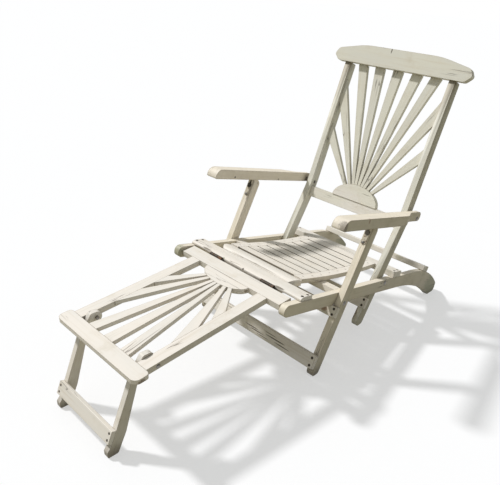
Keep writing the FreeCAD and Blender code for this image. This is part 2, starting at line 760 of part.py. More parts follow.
def make_back_posts():
    rear_front = post_frame.point(0, D.post_pivot_setback)
    foot = V(0, D.post_foot_height, 0)
    foot_front = crossing(rear_front, post_frame.along, foot, V(1, 0, 0))
    rear_line = post_frame.point(0, D.post_pivot_setback - D.post_depth)
    foot_rear = crossing(rear_line, post_frame.along, foot, V(1, 0, 0))
    knee_rear = crossing(rear_line, post_frame.along, back_frame.point(0, -D.post_depth), back_frame.along)
    places = [
        (back_frame.point(D.post_length), 0),
        (knee, D.post_knee_radius + D.post_depth),
        (foot_front, D.post_foot_front_radius),
        (foot_rear, D.post_foot_rear_radius),
        (knee_rear, D.post_knee_radius),
        (back_frame.point(D.post_length, -D.post_depth), D.post_top_radius),
    ]
    notch = local_corners(back_frame, stretcher_corners(D.rear_stretcher_thickness, D.run_out))
    rear_hinge = back_frame.local(rear_pivot)
    arm_hinge = back_frame.local(arm_pivot)
    screw_seat = back_frame.local(rear_front)
    tilt = FreeCAD.Placement(V(0, screw_seat.x, screw_seat.y),
                             FreeCAD.Rotation(V(1, 0, 0), D.post_upper_lean - D.post_lower_lean))
    shoulder = D.post_tenon_shoulder
    for name, side in SIDES:
        post = side_board("back_post_" + name, back_frame, side, post_inner,
                          local_corners(back_frame, places), "Sizes.post_thickness")
        tenon = rectangle(D.post_length - D.run_out, D.post_length + D.post_tenon_length,
                          -D.post_tenon_inset - D.post_tenon_thickness, -D.post_tenon_inset)
        pad(post, sketch(post, "YZ_Plane", tenon, side * (post_inner + shoulder)),
            "Sizes.post_thickness - 2 * Sizes.post_tenon_shoulder", reverse=side == LEFT)
        pocket(post, sketch(post, "YZ_Plane", outline(notch)))
        holes(post, "YZ_Plane", [(rear_hinge.x, rear_hinge.y)], RAIL_BOLT_HOLE)
        holes(post, "YZ_Plane", [(arm_hinge.x, arm_hinge.y)], ARM_BOLT_HOLE)
        centres = [(side * post_middle, s) for s in rear_stretcher_screws]
        holes(post, "XY_Plane", centres, SHANK_HOLE, SCREW_REACH, tilt)


post_middle = (post_inner + post_outer) / 2
rear_stretcher_low = -D.rear_stretcher_distance
rear_stretcher_high = rear_stretcher_low + D.rear_stretcher_width
rear_stretcher_screws = (rear_stretcher_low + D.stretcher_screw_inset,
                         rear_stretcher_high - D.stretcher_screw_inset)


def stretcher_corners(depth, beyond=0.0):
    """The low stretcher's section, let into the fronts of the posts."""
    front = D.post_pivot_setback
    low, high = rear_stretcher_low, rear_stretcher_high
    return [(post_frame.point(low, front + beyond), 0), (post_frame.point(high, front + beyond), 0),
            (post_frame.point(high, front - depth), 0), (post_frame.point(low, front - depth), 0)]


def make_rear_stretcher():
    corners = local_corners(post_frame, stretcher_corners(D.rear_stretcher_thickness))
    rail = cross_board("rear_stretcher", post_frame, corners,
                       "Sizes.rail_gap - 2 * Sizes.side_gap")
    screw_holes(rail, rear_stretcher_screws, post_middle, D.post_pivot_setback)


def make_crest_rail():
    half = post_outer + D.crest_overhang
    low, high = D.post_length, D.post_length + D.crest_height
    right = [(half - D.crest_low_cut, low, D.crest_low_radius),
             (half, low + D.crest_tip_rise, D.crest_tip_radius),
             (half - D.crest_high_cut, high - D.crest_tip_fall, D.crest_high_radius),
             (half - D.crest_shoulder, high, D.crest_shoulder_radius)]
    left = [(-x, y, radius) for x, y, radius in reversed(right)]
    crest = body("crest_rail", back_frame)
    back_face = D.crest_proud - D.crest_thickness
    pad(crest, sketch(crest, "XY_Plane", outline(right + left), back_face), "Sizes.crest_thickness")
    mortises = []
    shoulder = D.post_tenon_shoulder - D.fit
    for name, side in SIDES:
        inner, outer = side * (post_inner + shoulder), side * (post_outer - shoulder)
        mortises += rectangle(min(inner, outer), max(inner, outer), low - D.run_out,
                              low + D.post_tenon_length + D.fit)
    pocket(crest, sketch(crest, "XY_Plane", mortises, D.fit - D.post_tenon_inset),
           "Sizes.post_tenon_thickness + 2 * Sizes.fit")


back_disc = (D.disc_half_width, D.sun_rail_width - D.sun_rail_station + D.fit, D.disc_height)


def make_sun():
    low, high = -D.sun_rail_station, D.sun_rail_width - D.sun_rail_station
    back, front = -D.ray_recess - D.sun_rail_thickness, -D.ray_recess
    corners = [(low, back, D.edge_radius), (low, front, D.edge_radius), (high, front, 0), (high, back, 0)]
    length = "Sizes.rail_gap - 2 * (Sizes.side_gap + Sizes.post_thickness)"
    cross_board("back_sun_rail", back_frame, corners, length)
    disc = body("back_sun_disc", back_frame)
    face = D.disc_proud - D.ray_recess
    edges = half_ellipse(*back_disc)
    pad(disc, sketch(disc, "XY_Plane", edges, face - D.disc_thickness), "Sizes.disc_thickness")


def back_ray_targets():
    """Outer ends of the rays: five under the crest and two on each post."""
    up = V(1, 0, 0)
    along = V(0, 1, 0)
    places = (-D.ray_far_place, -D.ray_near_place, 0, D.ray_near_place, D.ray_far_place)
    crest_ends = [(V(x, D.post_length, 0), up, D.ray_outer_width / 2) for x in places]
    low, high = D.post_length - D.post_ray_low_drop, D.post_length - D.post_ray_high_drop
    post_ends = [[(V(side * post_inner, low, 0), along, D.post_ray_low_half),
                  (V(side * post_inner, high, 0), along, D.post_ray_high_half)] for name, side in SIDES]
    return post_ends[0] + crest_ends + post_ends[1][::-1]


def make_back_rays():
    focus = V(0, -D.ray_focus_drop, 0)
    for number, (target, edge, half) in enumerate(back_ray_targets(), start=1):
        ray = body(f"back_ray_{number}", back_frame)
        corners = ray_corners(focus, target, edge, back_disc, D.ray_inner_width, half)
        back = -D.ray_recess - D.ray_thickness
        pad(ray, sketch(ray, "XY_Plane", outline(corners), back), "Sizes.ray_thickness")


# Front legs, their stretcher and the bar that stops the fold under the side rails

leg_front = D.leg_depth / 2
leg_hinge_place = leg_frame.local(leg_hinge)
leg_foot_centre = crossing(front_pivot, leg_frame.along, V(0, 0, 0), V(1, 0, 0))
leg_foot_place = leg_frame.local(leg_foot_centre).x
stretcher_low = leg_foot_place + D.stretcher_height
stretcher_high = stretcher_low + D.stretcher_width
stretcher_screws = (stretcher_low + D.stretcher_screw_inset, stretcher_high - D.stretcher_screw_inset)


def stop_bar_top():
    """Where the bar's upper front corner meets the underside of the side rails."""
    under_start = seat_frame.point(-D.rail_nose, -D.rail_depth_front)
    corner_start = leg_frame.point(0, leg_front + D.stop_bar_proud)
    meeting = crossing(corner_start, leg_frame.along, under_start, heading(-D.rail_slope - D.rail_taper))
    return leg_frame.local(meeting).x - D.stop_bar_clearance


stop_bar_high = stop_bar_top()
stop_bar_low = stop_bar_high - D.stop_bar_width
stop_bar_screws = (stop_bar_low + D.stop_screw_inset, stop_bar_high - D.stop_screw_inset)
stop_bar_face = leg_front + D.stop_bar_proud


def make_front_legs():
    floor = V(0, 0, 0)
    level = V(1, 0, 0)
    top = arm_frame.point(0, -D.arm_leg_gap)
    front_start, rear_start = leg_frame.point(0, leg_front), leg_frame.point(0, -leg_front)
    places = [
        (crossing(front_start, leg_frame.along, floor, level), D.leg_front_toe),
        (crossing(front_start, leg_frame.along, top, arm_frame.along), D.edge_radius),
        (crossing(rear_start, leg_frame.along, top, arm_frame.along), D.leg_shoulder_radius),
        (crossing(rear_start, leg_frame.along, floor, level), D.leg_rear_toe),
    ]
    for name, side in SIDES:
        leg = side_board("front_leg_" + name, leg_frame, side, leg_inner, local_corners(leg_frame, places),
                         "Sizes.leg_thickness")
        holes(leg, "YZ_Plane", [(0, 0)], RAIL_BOLT_HOLE)
        holes(leg, "YZ_Plane", [(leg_hinge_place.x, leg_hinge_place.y)], ARM_BOLT_HOLE)
        notch = rectangle(stop_bar_low, stop_bar_high, stop_bar_face - D.stop_bar_thickness,
                          leg_front + D.run_out)
        pocket(leg, sketch(leg, "YZ_Plane", notch))
        middle = side * leg_middle
        half_slot = D.hinge_tongue_thickness / 2 + D.hinge_slot_gap
        slot = rectangle(middle - half_slot, middle + half_slot,
                         leg_hinge_place.x - D.hinge_tongue_width / 2 - D.edge_radius,
                         leg_hinge_place.x + 2 * D.leg_depth)
        pocket(leg, sketch(leg, "XY_Plane", slot))
        centres = [(middle, s) for s in stretcher_screws]
        holes(leg, "XY_Plane", centres, SHANK_HOLE, SCREW_REACH, leg_front + D.stretcher_thickness)
        centres = [(middle, s) for s in stop_bar_screws]
        holes(leg, "XY_Plane", centres, SHANK_HOLE, SCREW_REACH, stop_bar_face)
        centres = [(middle, s) for s in strap_screws]
        holes(leg, "XY_Plane", centres, SHANK_HOLE, STRAP_SCREW_REACH, leg_front + D.strap_thickness)


strap_top = leg_hinge_place.x - D.hinge_tongue_width / 2 - D.strap_setback
strap_low = strap_top - D.strap_length
strap_screws = (strap_top - D.strap_screw_top_inset, strap_low + D.strap_screw_low_inset)


def make_leg_bars():
    low, high, small = stretcher_low, stretcher_high, D.edge_radius
    front, back = leg_front + D.stretcher_thickness, leg_front
    corners = [(low, back, 0), (low, front, small), (high, front, small), (high, back, 0)]
    length = "Sizes.rail_gap + 2 * (Sizes.rail_thickness + Sizes.side_gap + Sizes.leg_thickness)"
    bar = cross_board("front_stretcher", leg_frame, corners, length)
    screw_holes(bar, stretcher_screws, leg_middle, front)

    back = stop_bar_face - D.stop_bar_thickness
    corners = [(stop_bar_low, back, 0), (stop_bar_low, stop_bar_face, small),
               (stop_bar_high, stop_bar_face, 0), (stop_bar_high, back, 0)]
    bar = cross_board("leg_stop_bar", leg_frame, corners, length)
    screw_holes(bar, stop_bar_screws, leg_middle, stop_bar_face)


# Arms: flat boards that narrow to a tongue beside the back posts

def make_arms():
    thick = D.arm_thickness
    corners = [(-D.arm_front, 0, D.arm_nose_under_radius), (-D.arm_front, thick, D.arm_nose_radius),
               (D.arm_rear, thick, D.arm_end_radius), (D.arm_rear, 0, D.arm_end_radius)]
    pivot = arm_frame.local(arm_pivot)
    outer = arm_inner + D.arm_width
    taper_start, taper_end = D.arm_taper_start, D.arm_taper_start + D.arm_taper_length
    cut_start, cut_end = taper_start - D.arm_taper_length, D.arm_rear + D.run_out
    cut = [(outer, cut_start, 0), (outer, taper_start, D.arm_taper_radius),
           (arm_tongue_outer, taper_end, D.arm_taper_radius), (arm_tongue_outer, cut_end, 0),
           (outer + D.run_out, cut_end, 0), (outer + D.run_out, cut_start, 0)]
    for name, side in SIDES:
        arm = side_board("arm_" + name, arm_frame, side, arm_inner, corners, "Sizes.arm_width")
        holes(arm, "YZ_Plane", [(pivot.x, pivot.y)], ARM_BOLT_HOLE)
        taper = outline([(side * x, s, radius) for x, s, radius in cut])
        pocket(arm, sketch(arm, "XY_Plane", taper))
        half_plate, half_length = D.hinge_plate_width / 2 + D.fit, D.hinge_plate_length / 2 + D.fit
        middle = side * leg_middle
        recess = rectangle(middle - half_plate, middle + half_plate, -half_length, half_length)
        pocket(arm, sketch(arm, "XY_Plane", recess), "Sizes.hinge_plate_thickness", reverse=True)


def make_arm_hinge_plates():
    """Steel plate let into the arm's underside, with a tongue that hangs in the leg's slot."""
    for name, side in SIDES:
        plate = body("arm_hinge_plate_" + name, arm_frame)
        half = D.hinge_plate_length / 2
        base = rectangle(-half, half, 0, D.hinge_plate_thickness)
        pad(plate, sketch(plate, "YZ_Plane", base, side * leg_middle - D.hinge_plate_width / 2),
            "Sizes.hinge_plate_width")
        half = D.hinge_tongue_width / 2
        low, root = -D.hinge_drop - half, D.hinge_plate_thickness / 2
        round_end = half - D.fit
        tongue = outline([(-half, root, 0), (half, root, 0), (half, low, round_end), (-half, low, round_end)])
        pad(plate, sketch(plate, "YZ_Plane", tongue, side * leg_middle - D.hinge_tongue_thickness / 2),
            "Sizes.hinge_tongue_thickness")
        holes(plate, "YZ_Plane", [(0, -D.hinge_drop)], "Sizes.arm_bolt / 2 + Sizes.fit")


# Footrest panel

foot_board_rear = -D.footrest_reach
foot_board_front = foot_board_rear - D.footrest_board_width
foot_rear_front = -D.hinge_radius - D.footrest_rear_width
foot_rail_inner = D.footrest_rail_outer - D.footrest_rail_width


def make_footrest_frame():
    rear, front = -D.hinge_radius, foot_rear_front
    low = -D.footrest_rear_thickness
    small = D.edge_radius
    corners = [(front, low, small), (front, 0, 0), (rear, 0, 2 * small), (rear, low, small)]
    length = "Sizes.rail_gap - 2 * Sizes.footrest_side_clearance"
    cross_board("footrest_rear_rail", footrest_frame, corners, length)

    tongue_end = foot_board_rear - D.footrest_tongue
    shelf = -D.footrest_board_thickness
    deep = -D.footrest_rail_depth
    corners = [(front, 0, 0), (foot_board_rear, 0, 0), (foot_board_rear, shelf, 0), (tongue_end, shelf, 0),
               (tongue_end, deep, small), (front, deep, 0)]
    for name, side in SIDES:
        rail = side_board("footrest_side_rail_" + name, footrest_frame, side, foot_rail_inner,
                          corners, "Sizes.footrest_rail_width")
        holes(rail, "YZ_Plane", [(-foot_pivot_distance, -D.foot_pivot_drop)],
              "Sizes.foot_bolt / 2 + Sizes.bolt_clearance")

    board = body("footrest_front_board", footrest_frame)
    half = D.footrest_rail_outer + D.footrest_board_overhang
    radius, rear_radius = D.footrest_board_radius, D.footrest_board_rear_radius
    corners = [(-half, foot_board_rear, rear_radius), (-half, foot_board_front, radius),
               (half, foot_board_front, radius), (half, foot_board_rear, rear_radius)]
    pad(board, sketch(board, "XY_Plane", outline(corners), shelf), "Sizes.footrest_board_thickness")


footrest_disc = (D.footrest_disc_half_width, foot_rear_front - D.fit, -D.footrest_disc_height)


def make_footrest_sun():
    disc = body("footrest_sun_disc", footrest_frame)
    edges = half_ellipse(*footrest_disc)
    pad(disc, sketch(disc, "XY_Plane", edges, -D.footrest_disc_thickness), "Sizes.footrest_disc_thickness")


# Shares of the footrest's opening at which the rays meet its side rails
FOOTREST_RAY_SHARES = (0.365, 0.646)


def footrest_ray_targets():
    """Outer ends of the rays: three on the front board and two on each side rail."""
    level = V(1, 0, 0)
    along = V(0, 1, 0)
    opening = foot_board_rear - foot_rear_front
    near, far = (foot_rear_front + opening * share for share in FOOTREST_RAY_SHARES)
    board_ends = [(V(x, foot_board_rear, 0), level, half)
                  for x, half in ((-D.footrest_ray_pitch, D.footrest_ray_next_half),
                                  (0, D.footrest_ray_middle_half),
                                  (D.footrest_ray_pitch, D.footrest_ray_next_half))]
    rail_ends = [[(V(side * foot_rail_inner, near, 0), along, D.footrest_ray_near_half),
                  (V(side * foot_rail_inner, far, 0), along, D.footrest_ray_far_half)] for name, side in SIDES]
    return rail_ends[0] + board_ends + rail_ends[1][::-1]


def make_footrest_rays():
    focus = V(0, -D.footrest_focus_setback, 0)
    for number, (target, edge, half) in enumerate(footrest_ray_targets(), start=1):
        ray = body(f"footrest_ray_{number}", footrest_frame)
        corners = ray_corners(focus, target, edge, footrest_disc, D.footrest_ray_inner_width, half)
        pad(ray, sketch(ray, "XY_Plane", outline(corners), -D.footrest_ray_thickness),
            "Sizes.footrest_ray_thickness")


# Footrest legs: sabre-shaped, hung from lugs inside the side rails

foot_front_line = heading(90 - D.foot_leg_front_lean)
foot_rear_line = heading(90 - D.foot_leg_rear_lean)
foot_front_start = V(lug_pivot.x - D.foot_shin_setback, lug_pivot.y - D.foot_shin_drop, 0)
foot_rear_start = V(lug_pivot.x - D.foot_calf_setback, lug_pivot.y - D.foot_calf_drop, 0)
foot_stretcher_frame = Frame(
    crossing(foot_front_start, foot_front_line, V(0, D.foot_stretcher_height, 0), V(1, 0, 0)),
    90 - D.foot_leg_front_lean)
foot_leg_middle = (foot_leg_inner + foot_leg_outer) / 2
foot_stretcher_screws = (D.stretcher_screw_inset, D.foot_stretcher_width - D.stretcher_screw_inset)


def make_footrest_legs():
    radius = D.lug_radius
    level = V(1, 0, 0)
    shin = crossing(foot_front_start, foot_front_line, V(0, lug_pivot.y - D.foot_shin_bend, 0), level)
    kick = crossing(foot_front_start, foot_front_line,
                    V(0, D.foot_stretcher_height - D.foot_kick_drop, 0), level)
    calf = crossing(foot_rear_start, foot_rear_line, V(0, D.foot_calf_height, 0), level)
    lug_front, lug_rear = lug_pivot.x - radius, lug_pivot.x + radius
    lug_low, lug_high = lug_pivot.y - radius, lug_pivot.y + radius
    toe = kick.x - D.foot_kick
    places = [
        (V(lug_rear, lug_high, 0), radius - D.fit),
        (V(lug_front, lug_high, 0), radius / 2),
        (shin, D.foot_shin_radius),
        (kick, D.foot_shin_radius),
        (V(toe, D.foot_kick_height, 0), 4 * D.edge_radius),
        (V(toe + D.edge_radius, 0, 0), 2.5 * D.edge_radius),
        (V(calf.x - D.foot_heel_kick, 0, 0), 4 * D.edge_radius),
        (calf, D.foot_calf_radius),
        (foot_rear_start, D.foot_shin_radius),
        (V(lug_pivot.x - 2 * D.edge_radius, lug_low, 0), radius / 2),
        (V(lug_rear, lug_low, 0), radius - D.fit),
    ]
    for name, side in SIDES:
        leg = side_board("footrest_leg_" + name, upright_frame, side, foot_leg_inner,
                         local_corners(upright_frame, places), "Sizes.foot_leg_thickness")
        holes(leg, "YZ_Plane", [(lug_pivot.x, lug_pivot.y)], "Sizes.foot_bolt / 2 + Sizes.bolt_clearance")
        face = foot_stretcher_frame
        tilt = FreeCAD.Placement(V(0, face.origin.x, face.origin.y), FreeCAD.Rotation(V(1, 0, 0), face.angle))
        centres = [(side * foot_leg_middle, s) for s in foot_stretcher_screws]
        holes(leg, "XY_Plane", centres, SMALL_SHANK_HOLE, SMALL_SCREW_REACH, tilt)

    thick = D.foot_stretcher_thickness
    high, small = D.foot_stretcher_width, D.edge_radius
    corners = [(0, 0, 0), (0, thick, small), (high, thick, small), (high, 0, 0)]
    length = "2 * (Sizes.footrest_rail_outer - Sizes.footrest_rail_width - Sizes.foot_leg_gap)"
    bar = cross_board("footrest_leg_stretcher", foot_stretcher_frame, corners, length)
    centres = [(side * foot_leg_middle, s) for name, side in SIDES for s in foot_stretcher_screws]
    holes(bar, "XY_Plane", centres, SMALL_SHANK_HOLE)
    holes(bar, "XY_Plane", centres, "Sizes.small_head / 2 + Sizes.screw_clearance",
          "Sizes.screw_head_depth", thick)


# Metal parts

def through_bolt(radius, start, end, head_radius, nut_radius):
    """Bolt along X from a nut at its start to a round head past its end."""
    shank = Part.makeCylinder(radius, end - start, V(start, 0, 0), V(1, 0, 0))
    nut = Part.makeCylinder(nut_radius, D.nut_height, V(start - D.nut_height, 0, 0), V(1, 0, 0))
    rise = D.bolt_head_height
    bulge = (head_radius ** 2 + rise ** 2) / (2 * rise)
    ball = Part.makeSphere(bulge, V(end + rise - bulge, 0, 0))
    slab = Part.makeCylinder(head_radius, rise, V(end, 0, 0), V(1, 0, 0))
    return shank.fuse([nut, ball.common(slab)]).removeSplitter()


def on_both_sides(shape, place):
    """The shape at a side-view place on the right, and turned about Z on the left."""
    at = V(0, place.x, place.y)
    return [moved(shape, at), moved(shape, at, FreeCAD.Rotation(V(0, 0, 1), 180))]


def make_bolts():
    bolts = []
    front = through_bolt(D.rail_bolt / 2, rail_inner, leg_outer, D.bolt_head_radius, D.nut_radius)
    rear = through_bolt(D.rail_bolt / 2, post_inner, rail_outer, D.bolt_head_radius, D.nut_radius)
    bolts += on_both_sides(front, front_pivot)
    bolts += on_both_sides(rear, rear_pivot)
    fastener_group("rail_pivot_bolts", upright_frame, bolts)

    bolt = through_bolt(D.arm_bolt / 2, post_inner, arm_tongue_outer, D.arm_bolt_head_radius,
                        D.small_nut_radius)
    spacer = Part.makeCylinder(D.spacer_radius, arm_inner - post_outer, V(post_outer, 0, 0), V(1, 0, 0))
    bolts = on_both_sides(bolt.fuse(spacer).removeSplitter(), arm_pivot)
    fastener_group("arm_pivot_bolts", upright_frame, bolts)

    bolt = through_bolt(D.foot_bolt / 2, foot_leg_inner, D.footrest_rail_outer, D.foot_bolt_head_radius,
                        D.small_nut_radius)
    fastener_group("lug_bolts", upright_frame, on_both_sides(bolt, lug_pivot))


def make_leg_fittings():
    """Pins through the tops of the legs and a steel strap on the front of each."""
    pin = Part.makeCylinder(D.arm_bolt / 2, D.leg_thickness, V(leg_inner, 0, 0), V(1, 0, 0))
    pins = on_both_sides(pin, leg_hinge_place)
    strap = Part.makeBox(D.strap_width, D.strap_length, D.strap_thickness,
                         V(-D.strap_width / 2, strap_low, leg_front))
    short = screw(D.screw_head / 2, D.strap_screw_head_depth, D.screw_shank / 2, D.strap_screw_length)
    screw_top = leg_front + D.strap_thickness + D.strap_screw_proud
    straps = []
    for name, side in SIDES:
        plate = moved(strap, V(side * leg_middle, 0, 0))
        for s in strap_screws:
            plate = plate.fuse(moved(short, V(side * leg_middle, s, screw_top)))
        straps.append(plate.removeSplitter())
    fastener_group("leg_hinge_fittings", leg_frame, pins + straps)


def make_footrest_hinges():
    """Two butt hinges: the fixed leaf has the outer knuckles and the pin, the other the middle one."""
    half = D.leaf_length / 2
    step = D.knuckle_length / 2 + D.knuckle_gap
    fixed, moving = [], []
    hole = Part.makeCylinder(D.hinge_pin / 2 + D.bolt_clearance, 3 * half, V(-1.5 * half, 0, 0), V(1, 0, 0))
    barrel = Part.makeCylinder(D.hinge_radius, D.knuckle_length, V(-D.knuckle_length / 2, 0, 0), V(1, 0, 0))
    pin = Part.makeCylinder(D.hinge_pin / 2, D.leaf_length, V(-half, 0, 0), V(1, 0, 0))
    turn = FreeCAD.Rotation(V(1, 0, 0), -D.rail_slope)
    for name, side in SIDES:
        at = V(side * D.leaf_place, hinge_axis.x, hinge_axis.y)
        leaf = Part.makeBox(D.leaf_length, D.leaf_thickness, D.leaf_width,
                            V(-half, D.hinge_radius - D.leaf_thickness, -D.leaf_width))
        window = Part.makeBox(D.knuckle_length + 2 * D.knuckle_gap, D.hinge_radius,
                              2 * D.hinge_radius + D.edge_radius,
                              V(-step, 0, -2 * D.hinge_radius))
        leaf = leaf.cut(window)
        outer = [Part.makeCylinder(D.hinge_radius, half - step, V(x, 0, 0), V(1, 0, 0)) for x in (-half, step)]
        fixed.append(moved(leaf.fuse(outer + [pin]).removeSplitter(), at, turn))

        leaf = Part.makeBox(D.leaf_length, D.leaf_thickness, D.leaf_width,
                            V(-half, -D.hinge_radius, -D.leaf_width))
        windows = [Part.makeBox(half - D.knuckle_length / 2, D.hinge_radius, 2 * D.hinge_radius + D.edge_radius,
                                V(x, -D.hinge_radius, -2 * D.hinge_radius))
                   for x in (-half, D.knuckle_length / 2)]
        leaf = leaf.cut(windows[0]).cut(windows[1]).fuse(barrel).cut(hole)
        tilt = FreeCAD.Rotation(V(1, 0, 0), D.footrest_slope)
        moving.append(moved(leaf.removeSplitter(), at, tilt))
    fastener_group("footrest_hinge_frame_leaves", upright_frame, fixed)
    fastener_group("footrest_hinge_moving_leaves", upright_frame, moving)


def make_screws():
    screws = screw_places(wood_screw, front_board_screws, rail_middle, D.front_board_thickness)
    screws += screw_places(long_screw, rear_bar_screws, rail_middle, D.seat_height)
    base = V(0, tail_bar_place.x, tail_bar_place.y)
    for name, side in SIDES:
        for s in tail_bar_screws:
            top = V(side * rail_middle, s, D.tail_bar_thickness)
            screws.append(moved(long_screw, base + tail_bar_turn.multVec(top), tail_bar_turn))
    fastener_group("frame_screws", seat_frame, screws)

    pin = Part.makeCylinder(D.slat_pin / 2, D.slat_pin_length, V(0, 0, -D.slat_pin_length - D.slat_pin_sink))
    pins = [moved(pin, V(side * slat_pin_across, s, seat_point(s).y)) for name, side in SIDES
            for s in slat_pin_stations]
    fastener_group("seat_slat_pins", seat_frame, pins)

    screws = screw_places(wood_screw, stretcher_screws, leg_middle, leg_front + D.stretcher_thickness)
    screws += screw_places(wood_screw, stop_bar_screws, leg_middle, stop_bar_face)
    fastener_group("leg_screws", leg_frame, screws)

    screws = screw_places(wood_screw, rear_stretcher_screws, post_middle, D.post_pivot_setback)
    fastener_group("back_screws", post_frame, screws)

    small_screw = screw(D.small_head / 2, D.screw_head_depth, D.small_shank / 2, D.small_screw_length)
    screws = screw_places(small_screw, foot_stretcher_screws, foot_leg_middle, D.foot_stretcher_thickness)
    fastener_group("footrest_leg_screws", foot_stretcher_frame, screws)


make_side_rails()
make_frame_boards()
make_seat_front_rail()
make_seat_side_rails()
make_seat_slats()
make_back_posts()
make_rear_stretcher()
make_crest_rail()
make_sun()
make_back_rays()
make_front_legs()
make_leg_bars()
make_arms()
make_arm_hinge_plates()
make_footrest_frame()
make_footrest_sun()
make_footrest_rays()
make_footrest_legs()
make_bolts()
make_leg_fittings()
make_footrest_hinges()
make_screws()

doc.recompute()

# Every feature must have been computed, and every sub-part must be a sound solid
for item in doc.Objects:
    if "Invalid" in item.State or "Error" in item.State:
        raise RuntimeError(f"{item.Label} was not computed: {item.State}")
for piece in subparts:
    if piece.Shape.isNull() or not piece.Shape.isValid() or not piece.Shape.Solids:
        raise RuntimeError(f"{piece.Label} is not a sound solid")

os.makedirs("parts", exist_ok=True)
for piece in subparts:
    piece.Shape.exportStep(f"parts/{piece.Label}.step")
    print(f"{piece.Label}: {len(piece.Shape.Solids)} solids, {piece.Shape.Volume:.0f} mm3")
print(f"{len(subparts)} sub-parts")
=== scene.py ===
import math

import bmesh
import bpy
import numpy as np
from mathutils import Matrix, Vector


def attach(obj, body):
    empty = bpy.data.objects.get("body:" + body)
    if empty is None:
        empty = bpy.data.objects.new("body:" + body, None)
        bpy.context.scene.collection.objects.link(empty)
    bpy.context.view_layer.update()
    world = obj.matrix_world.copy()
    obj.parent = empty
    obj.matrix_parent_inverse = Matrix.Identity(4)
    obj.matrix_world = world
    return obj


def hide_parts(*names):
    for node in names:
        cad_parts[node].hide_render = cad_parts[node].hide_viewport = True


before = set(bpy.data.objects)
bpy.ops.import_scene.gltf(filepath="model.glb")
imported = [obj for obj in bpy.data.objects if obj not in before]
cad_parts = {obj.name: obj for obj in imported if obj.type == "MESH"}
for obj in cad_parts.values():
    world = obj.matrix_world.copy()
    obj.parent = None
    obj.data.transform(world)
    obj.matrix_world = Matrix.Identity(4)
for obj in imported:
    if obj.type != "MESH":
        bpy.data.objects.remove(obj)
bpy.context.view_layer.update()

# A folding deck chair of old painted wood. Lengths are in metres, colours are linear.

# Slopes of the main pieces, in degrees from +Y towards +Z
SEAT_SLOPE = -10.77
BACK_SLOPE = 72.9
POST_FOOT_SLOPE = 62.0
LEG_SLOPE = 66.1
ARM_SLOPE = -11.2
FOOTREST_SLOPE = 5.8
FOOT_LEG_SLOPE = 72.0

# Paint, wood and dirt colours; several of them also carry painted shade, and the warm pair painted bounce
# light
CREAM = (0.885, 0.835, 0.770, 1)
CHALK = (0.840, 0.808, 0.755, 1)
# Warmer paint that also carries painted warm bounce light
WARM_BOUNCE_CREAM = (0.900, 0.830, 0.700, 1)
WARM_BOUNCE_CHALK = (0.865, 0.800, 0.695, 1)
# Greyer paint that also carries painted shade of the back
COOL_SHADE_CREAM = (0.800, 0.785, 0.690, 1)
COOL_SHADE_CHALK = (0.770, 0.762, 0.690, 1)
YELLOWED = (0.660, 0.580, 0.450, 1)
BARE_WOOD = (0.230, 0.170, 0.105, 1)
SILVERED_WOOD = (0.420, 0.360, 0.270, 1)
CRACK = (0.075, 0.052, 0.034, 1)
# Dark brown dirt, also used as painted shade in corners, joints and slat gaps
DIRT_AND_SHADE = (0.150, 0.122, 0.082, 1)
# Weathered olive, also used as painted shade on the outer faces
WEATHERED_AND_SHADED = (0.372, 0.335, 0.215, 1)
MILDEW = (0.250, 0.275, 0.165, 1)
RUST = (0.230, 0.100, 0.040, 1)
SHADOW_DIRT = (0.050, 0.042, 0.032, 1)
PAINT_ON_METAL = (0.640, 0.585, 0.480, 1)

# The two paint colours that blend over a board; the warm pair also carries painted warm bounce light, the
# cool pair painted shade
NEUTRAL = (CREAM, CHALK)
WARM_BOUNCE_COAT = (WARM_BOUNCE_CREAM, WARM_BOUNCE_CHALK)
COOL_SHADE_COAT = (COOL_SHADE_CREAM, COOL_SHADE_CHALK)

# Edges and corners of the boards and of the metal pieces
EDGE_RADIUS = 0.0018
WORN_EDGE_RADIUS = 0.0042
CORNER_REACH = 0.035
METAL_EDGE_RADIUS = 0.0008
METAL_CORNER_REACH = 0.012
GROUND_DIRT_TOP = 0.050
GROUND_DIRT_FULL = 0.005

# Shift of the paint's pattern from one board to the next, times the board's number
SEED_SHIFT = (1.37, 0.71, 2.13)

# Noises of the paint, with their scales per metre along the grain and across it
ALONG_GRAIN = {
    "broad": dict(scale=(3.0, 9.0, 9.0), detail=3.0, roughness=0.55),
    "streak": dict(scale=(5.0, 150.0, 150.0), detail=4.0, roughness=0.65),
    "fibre": dict(scale=(18.0, 520.0, 520.0), detail=2.0, roughness=0.6),
    "patch": dict(scale=(14.0, 46.0, 46.0), detail=6.0, roughness=0.72, distortion=0.4),
    "crack_lines": dict(scale=(2.6, 48.0, 48.0), detail=2.0, roughness=0.5, distortion=0.3),
    "cracked_areas": dict(scale=(5.0, 17.0, 17.0), detail=1.0),
}
CLOUD = dict(scale=(16.0, 16.0, 16.0), detail=5.0, roughness=0.65)
METAL_SPOTS = dict(scale=(190.0, 190.0, 190.0), detail=5.0, roughness=0.7)
METAL_CLOUDS = dict(scale=(60.0, 60.0, 60.0), detail=3.0, roughness=0.6)


# Materials

